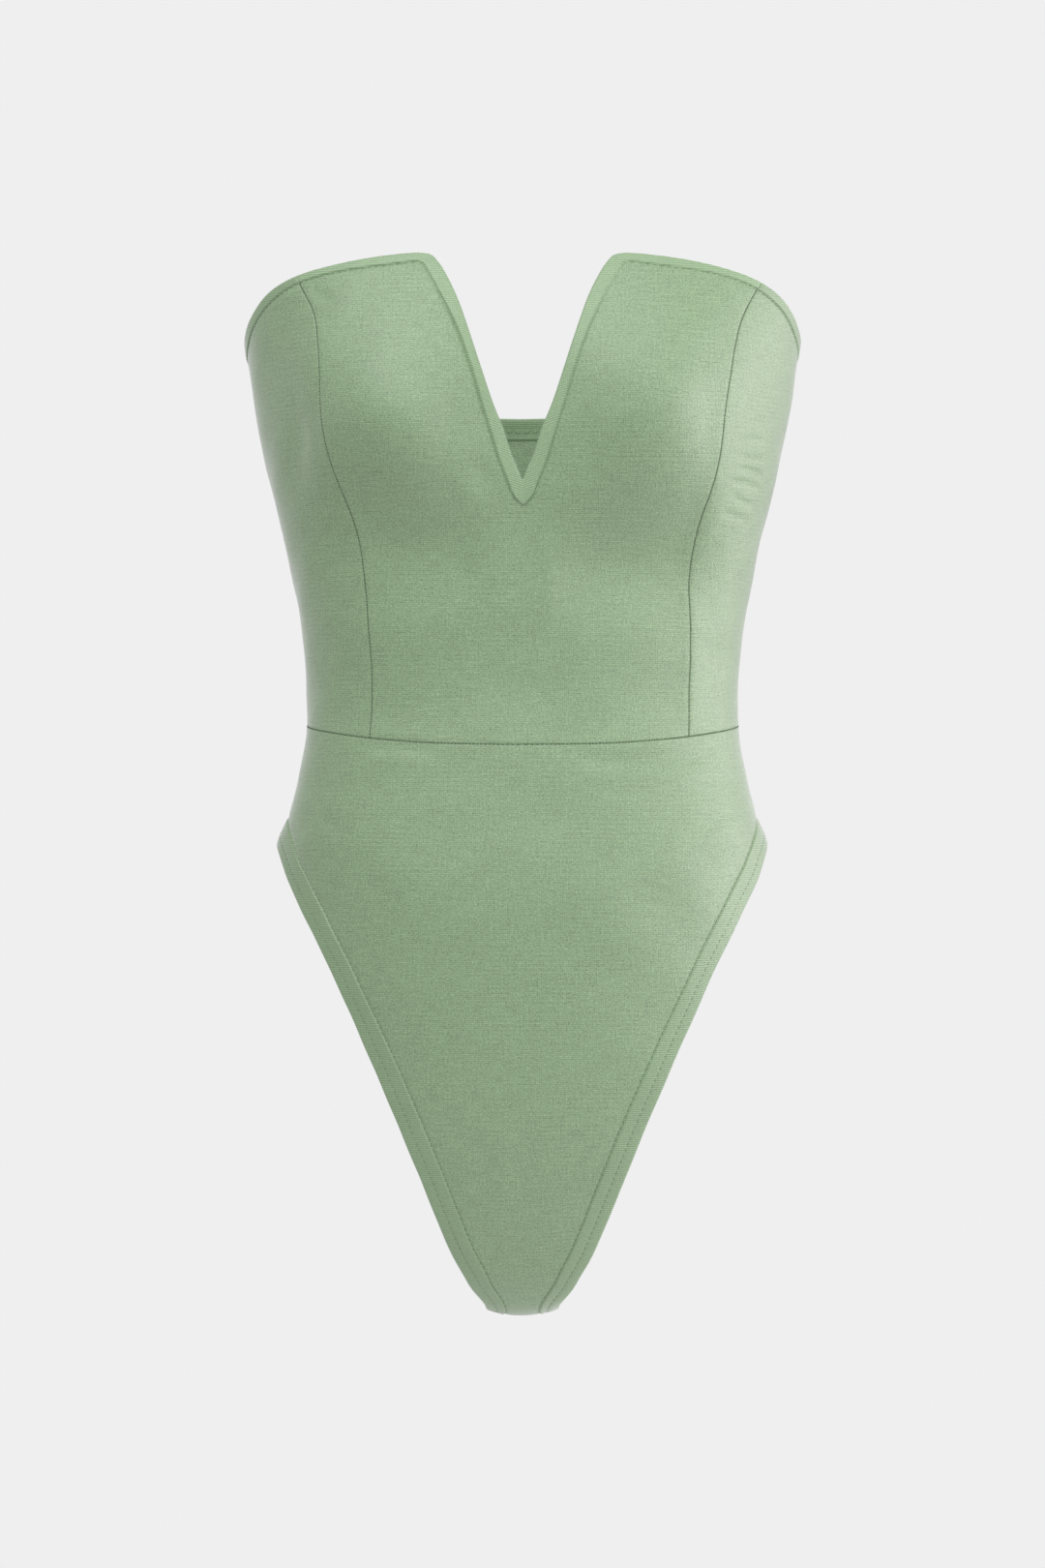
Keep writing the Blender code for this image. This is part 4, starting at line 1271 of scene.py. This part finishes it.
class BodysuitKnit(bpy.types.PropertyGroup):
    """The jersey's colours and its knit."""

    jersey: colour_of("Jersey", "the panels", (0.25, 0.372, 0.207))
    hem: colour_of("Hems", "the hems, a little paler", (0.252, 0.374, 0.209))
    # painted shade: darker than the jersey, for the shadows of the stitch holes and the grooves
    # between stitches
    thread: colour_of("Thread", "the sewing thread", (0.185, 0.285, 0.155))
    course_pitch: length_of("Course pitch", "Height of one row of loops", 0.0011, 0.0003, 0.01)
    wale_pitch: length_of("Wale pitch", "Width of one column of loops", 0.0010, 0.0003, 0.01)
    relief: length_of("Knit relief", "Height of the loops", 0.00004, 0.0, 0.001)
    roughness: factor_of("Roughness", "How matt the jersey is", 0.54)
    nap: factor_of("Nap", "Pale sheen of the fibres' ends", 1.0)
    stretch: factor_of("Stretch", "Worn length of the cloth against its cut length", 1.08, 1.0, 1.5)


class BodysuitSewing(bpy.types.PropertyGroup):
    """Thicknesses, seams and stitches."""

    cloth_out: length_of("Outer face", "Height of the cloth's face over the figure",
                         0.00075, 0.0002, 0.003)
    cloth_in: length_of("Inner face", "Depth of the cloth's back under the figure",
                        0.00035, 0.0001, 0.003)
    hem_out: length_of("Hem, outer face", "Height of a hem's face over the figure",
                       0.00125, 0.0002, 0.004)
    hem_in: length_of("Hem, inner face", "Depth of a hem's turned layer under the figure",
                      0.00115, 0.0002, 0.004)
    seam_depth: length_of("Seam depth", "How far a panel's edge rolls into its seam",
                          0.0005, 0.0, 0.003)
    seam_width: length_of("Seam width", "Half the width of that roll", 0.0004, 0.0002, 0.004)
    stitch_length: length_of("Stitch", "Length of one stitch", 0.0027, 0.001, 0.01)
    stitch_gap: length_of("Gap", "Space between two stitches", 0.0010, 0.0002, 0.01)
    thread_width: length_of("Thread", "Thickness of the thread", 0.00042, 0.0001, 0.002)


class BodysuitStudio(bpy.types.PropertyGroup):
    """Camera, light and floor."""

    eye: bpy.props.FloatVectorProperty(
        name="Camera", description="Place of the camera, which looks level along +Y",
        subtype="TRANSLATION", unit="LENGTH", size=3, default=(0.0, -2.4, -0.257))
    lens: bpy.props.FloatProperty(
        name="Lens", description="Focal length on a frame 36 mm high", default=94.36,
        min=10.0, max=300.0)
    backdrop: factor_of("Backdrop", "Brightness of the pale room", 0.863, 0.0, 2.0)
    fill: factor_of("Fill", "Brightness of the light that the room gives back", 0.38, 0.0, 2.0)
    top: power_of("Top", "above the camera", 25.0)
    high: power_of("High", "high on the wearer's right", 23.0)
    front: power_of("Front", "beside the camera", 14.5)
    key: power_of("Key", "on the wearer's left", 25.0)
    side: power_of("Side", "on the wearer's left, behind", 36.0)
    rim: power_of("Rim", "on the wearer's right, behind", 2.5)
    back: power_of("Back", "high behind the garment", 20.0)
    floor_height: length_of("Floor", "Height of the floor", -0.95, -5.0, 0.0)
    floor_radius: length_of("Floor radius", "Where the floor has faded into the backdrop",
                            1.2, 0.1, 10.0)


# ---------------------------------------------------------------- operators
class BODYSUIT_OT_centre_front(bpy.types.Operator):
    """Build the centre front between the princess seams, and its V-notched hem"""

    bl_idname = "bodysuit.centre_front"
    bl_label = "Centre Front"

    def execute(self, context):
        lines = Lines()
        grids, edges, hem_lines, runs = [], [], [], []
        tip = TIP_STEPS / (TIP_STEPS + V_STEPS)
        for side in (-1, 1):
            v_edge, v_line = v_lines(side)
            top = Band(*lines.front_top[side])
            top.ends = top.ends[1:]
            runs.append(stitch_run(top))
            edges.append(np.concatenate([v_edge, top.edge[1:]]))
            hem_lines.append(np.concatenate([v_line, top.line[1:]]))
            waist = lines.centre_waist(side)
            heights = np.linspace(waist[0][2], v_line[0][2], TIP_STEPS + 1)
            centre = np.concatenate([on_figure(0 * heights, heights, -1),
                                     read(v_line, np.linspace(0.0, 1.0, V_STEPS + 1))[1:]])
            seam = lines.princess[side]
            length = lengths(seam)[-1]
            low, high = split_rows(length * tip, length * (1 - tip))
            up = np.concatenate([low * tip, (tip + (1 - tip) * high)[1:]])
            grids.append(cloth_grid(waist, top.line, centre, seam, up))
        seams = [lines.princess[-1], lines.princess[1], lines.front_row(waist_line)]
        cloth, spans = panel("front_centre_panel", grids, seams, hem_lines, -1, shared=len(low))
        edge = across_centre(*edges)
        band = Band(edge, across_centre(*hem_lines),
                    proud=V_PROUD * fade(edge[:, 2], *V_PROUD_FADE))
        trim = hem("front_neckline_hem", band, -1, band_finish)
        stitches = thread("front_neckline_stitches", runs)
        return {"FINISHED"}


class BODYSUIT_OT_side_fronts(bpy.types.Operator):
    """Build the two side fronts between princess and side seams, with their hems"""

    bl_idname = "bodysuit.side_fronts"
    bl_label = "Side Fronts"

    def execute(self, context):
        lines = Lines()
        for side, name in SIDES:
            band = Band(*lines.side_top[side])
            seams = [lines.princess[side], lines.side_upper(side)]
            waist = lines.side_waist(side)
            length = lengths(seams[0])[-1]
            up = seam_shares(length, cells_for(length, SIDE_STEP))
            grid = cloth_grid(waist, band.line, *seams, up, SIDE_STEP)
            cloth, spans = panel("front_side_panel_" + name, [grid], [*seams, waist],
                                 [band.line], -1)
            trim = hem("side_neckline_hem_" + name, band, -1)
            stitches = thread("side_neckline_stitches_" + name, [stitch_run(band)])
            ditch = ditch_stitches("side_front_stitches_" + name, seams)
        return {"FINISHED"}


class BODYSUIT_OT_upper_back(bpy.types.Operator):
    """Build the upper back between the side seams, with its hem"""

    bl_idname = "bodysuit.upper_back"
    bl_label = "Upper Back"

    def execute(self, context):
        lines = Lines()
        tops = [lines.back_top[side] for side in (-1, 1)]
        edge, line = [across_back(*pair) for pair in zip(*tops)]
        waist = lines.back_row(waist_line)
        seams = [lines.side_upper(side) for side in (-1, 1)]
        length = lengths(seams[0])[-1]
        grid = cloth_grid(waist, line, *seams, seam_shares(length, cells_for(length)))
        cloth, spans = panel("back_upper_panel", [grid], [*seams, waist], [line], 1)
        band = Band(edge, line, BACK_ROWS)
        trim = hem("back_neckline_hem", band, 1)
        stitches = thread("back_neckline_stitches", [stitch_run(band, row) for row in BACK_ROWS])
        cover = thread("back_neckline_cover_stitches", [zigzag_run(band, *BACK_ROWS)], COVER_GIRTH)
        return {"FINISHED"}


class BODYSUIT_OT_leg_hems(bpy.types.Operator):
    """Build the leg openings' hems and their two rows of stitches"""

    bl_idname = "bodysuit.leg_hems"
    bl_label = "Leg Hems"

    def execute(self, context):
        lines = Lines()
        for side, name in SIDES:
            for (edge, line), (place, face) in zip(lines.leg[side], FACES):
                run = lengths(edge) if face > 0 else lengths(edge)[-1] - lengths(edge)
                band = Band(edge, line, LEG_ROWS, HIP_FLARE * bell(run, HIP_FLARE_REACH))
                label = place + "_" + name
                hem("leg_hem_" + label, band, face)
                runs = [stitch_run(band, row) for row in (None, *LEG_ROWS)]
                thread("leg_stitches_" + label, runs)
        return {"FINISHED"}


class BODYSUIT_OT_lower_panels(bpy.types.Operator):
    """Build the lower front and back, from the crotch seam to the waist seam"""

    bl_idname = "bodysuit.lower_panels"
    bl_label = "Lower Front and Back"

    def execute(self, context):
        lines = Lines()
        crotch = lines.crotch()
        seams = [lines.side_lower(side) for side in (-1, 1)]
        for place, face in FACES:
            row = lines.front_row if face < 0 else lines.back_row
            waist, hip = row(waist_line), row(lines.hip_row)
            legs = [lines.leg_line(side, face) for side in (-1, 1)]
            low, high = split_rows(lengths(legs[0])[-1], lengths(seams[0])[-1])
            halves = [((crotch, hip, *legs), low), ((hip, waist, *seams), high)]
            widths = [row_lengths(*curves, up) for curves, up in halves]
            cells = cells_for(max(width.max() for width in widths))
            lower, upper = [patch(*curves, seam_shares(width, cells), up)
                            for (curves, up), width in zip(halves, widths)]
            cloth, spans = panel(place + "_lower_panel", [np.concatenate([lower, upper[1:]])],
                                 [*seams, waist, crotch], legs, face)
            sewn = [waist, crotch, *seams] if face < 0 else [waist]
            ditch = ditch_stitches(place + "_waist_stitches", sewn)
        return {"FINISHED"}


class BODYSUIT_OT_studio(bpy.types.Operator):
    """Set the camera, the soft light, the pale room and the floor"""

    bl_idname = "bodysuit.studio"
    bl_label = "Studio"

    def execute(self, context):
        studio = context.scene.bodysuit_studio
        scene = context.scene
        scene.view_settings.view_transform = "Standard"
        lens = bpy.data.cameras.new("studio_camera")
        lens.lens = studio.lens
        lens.sensor_width = SENSOR
        lens.sensor_fit = "AUTO"
        scene.camera = placed("studio_camera", lens, studio.eye, LEVEL_VIEW)
        scene.world = pale_room(studio)
        for lamp in LAMPS:
            soft_box = bpy.data.lights.new(lamp.name + "_soft_box", "AREA")
            soft_box.shape = "RECTANGLE"
            soft_box.size, soft_box.size_y = lamp.size
            soft_box.energy = getattr(studio, lamp.name)
            soft_box.color = lamp.light
            aim = Vector(LIGHT_AIM) - Vector(lamp.place)
            placed(soft_box.name, soft_box, lamp.place, aim.to_track_quat("-Z", "Y").to_euler())
        floor = floor_disc(studio)
        return {"FINISHED"}


def pale_room(studio):
    """A room that looks pale all round, and gives back less light than that."""
    room = bpy.data.worlds.new("pale_room")
    tree = blank(room)
    seen = node(tree, "LightPath").outputs["Is Camera Ray"]
    level = add_share(tree, seen, studio.backdrop - studio.fill, studio.fill)
    light = node(tree, "Background", {"Color": (*WHITE, 1.0), "Strength": level})
    node(tree, "OutputWorld", {"Surface": light.outputs[0]})
    return room


def floor_disc(studio):
    """A round floor of rings, which fades into the backdrop at its rim."""
    turns = np.linspace(0.0, 2 * np.pi, FLOOR_SIDES, endpoint=False)
    radii = np.linspace(0.0, studio.floor_radius, FLOOR_RINGS + 1)[1:]
    points = [(0.0, 0.0, studio.floor_height)]
    points += [(r * np.cos(t), r * np.sin(t), studio.floor_height) for r in radii for t in turns]
    index = 1 + numbered((FLOOR_RINGS, FLOOR_SIDES))
    index = np.concatenate([index, index[:, :1]], axis=1)
    faces = [(0, *pair) for pair in zip(index[0, :-1].tolist(), index[0, 1:].tolist())]
    mesh = bpy.data.meshes.new("pale_floor")
    mesh.from_pydata(points, [], faces + quads(index)[:, ::-1].tolist())
    mesh.materials.append(floor_finish(studio))
    return placed("pale_floor", mesh)


def floor_finish(studio):
    """A pale floor, see-through towards its rim."""
    made = bpy.data.materials.new("pale_floor")
    tree = blank(made)
    solid = solid_place(tree)
    squares = [maths(tree, "POWER", part, 2.0)
               for part in node(tree, "SeparateXYZ", {0: solid}).outputs[:2]]
    rim = node(tree, "MapRange", {
        "Value": maths(tree, "SQRT", maths(tree, "ADD", *squares)),
        "From Min": studio.floor_radius * FLOOR_FADE, "From Max": studio.floor_radius,
        "To Min": 1.0, "To Max": 0.0}, interpolation_type="SMOOTHSTEP")
    level = add_share(tree, noise(tree, solid, FLOOR_GRAIN), FLOOR_GRAIN_SHADE, FLOOR_TONE)
    tone = node(tree, "CombineXYZ", {0: level, 1: level, 2: level})
    surface(tree, {"Base Color": tone.outputs[0], "Roughness": FLOOR_ROUGHNESS,
                   "Specular IOR Level": FLOOR_SPECULAR, "Alpha": rim.outputs[0]})
    return made


OPERATORS = (BODYSUIT_OT_centre_front, BODYSUIT_OT_side_fronts, BODYSUIT_OT_upper_back,
             BODYSUIT_OT_leg_hems, BODYSUIT_OT_lower_panels, BODYSUIT_OT_studio)
SETTINGS = {"bodysuit_knit": BodysuitKnit, "bodysuit_sewing": BodysuitSewing,
            "bodysuit_studio": BodysuitStudio}


class BODYSUIT_PT_pieces(bpy.types.Panel):
    """The pieces in the order in which they are sewn, and their sizes"""

    bl_idname = "BODYSUIT_PT_pieces"
    bl_label = "Strapless Bodysuit"
    bl_space_type = "VIEW_3D"
    bl_region_type = "UI"
    bl_category = "Bodysuit"

    def draw(self, context):
        for kind in OPERATORS:
            self.layout.operator(kind.bl_idname)
        for name, group in SETTINGS.items():
            box = self.layout.box()
            box.label(text=group.__doc__)
            for prop in group.__annotations__:
                box.prop(getattr(context.scene, name), prop)


def register():
    for kind in (*SETTINGS.values(), *OPERATORS, BODYSUIT_PT_pieces):
        bpy.utils.register_class(kind)
    for name, group in SETTINGS.items():
        setattr(bpy.types.Scene, name, bpy.props.PointerProperty(type=group))


def unregister():
    for name in SETTINGS:
        delattr(bpy.types.Scene, name)
    for kind in reversed((*SETTINGS.values(), *OPERATORS, BODYSUIT_PT_pieces)):
        bpy.utils.unregister_class(kind)


def main():
    register()
    for kind in OPERATORS:
        group, name = kind.bl_idname.split(".")
        getattr(getattr(bpy.ops, group), name)()


if __name__ == "__main__":
    main()
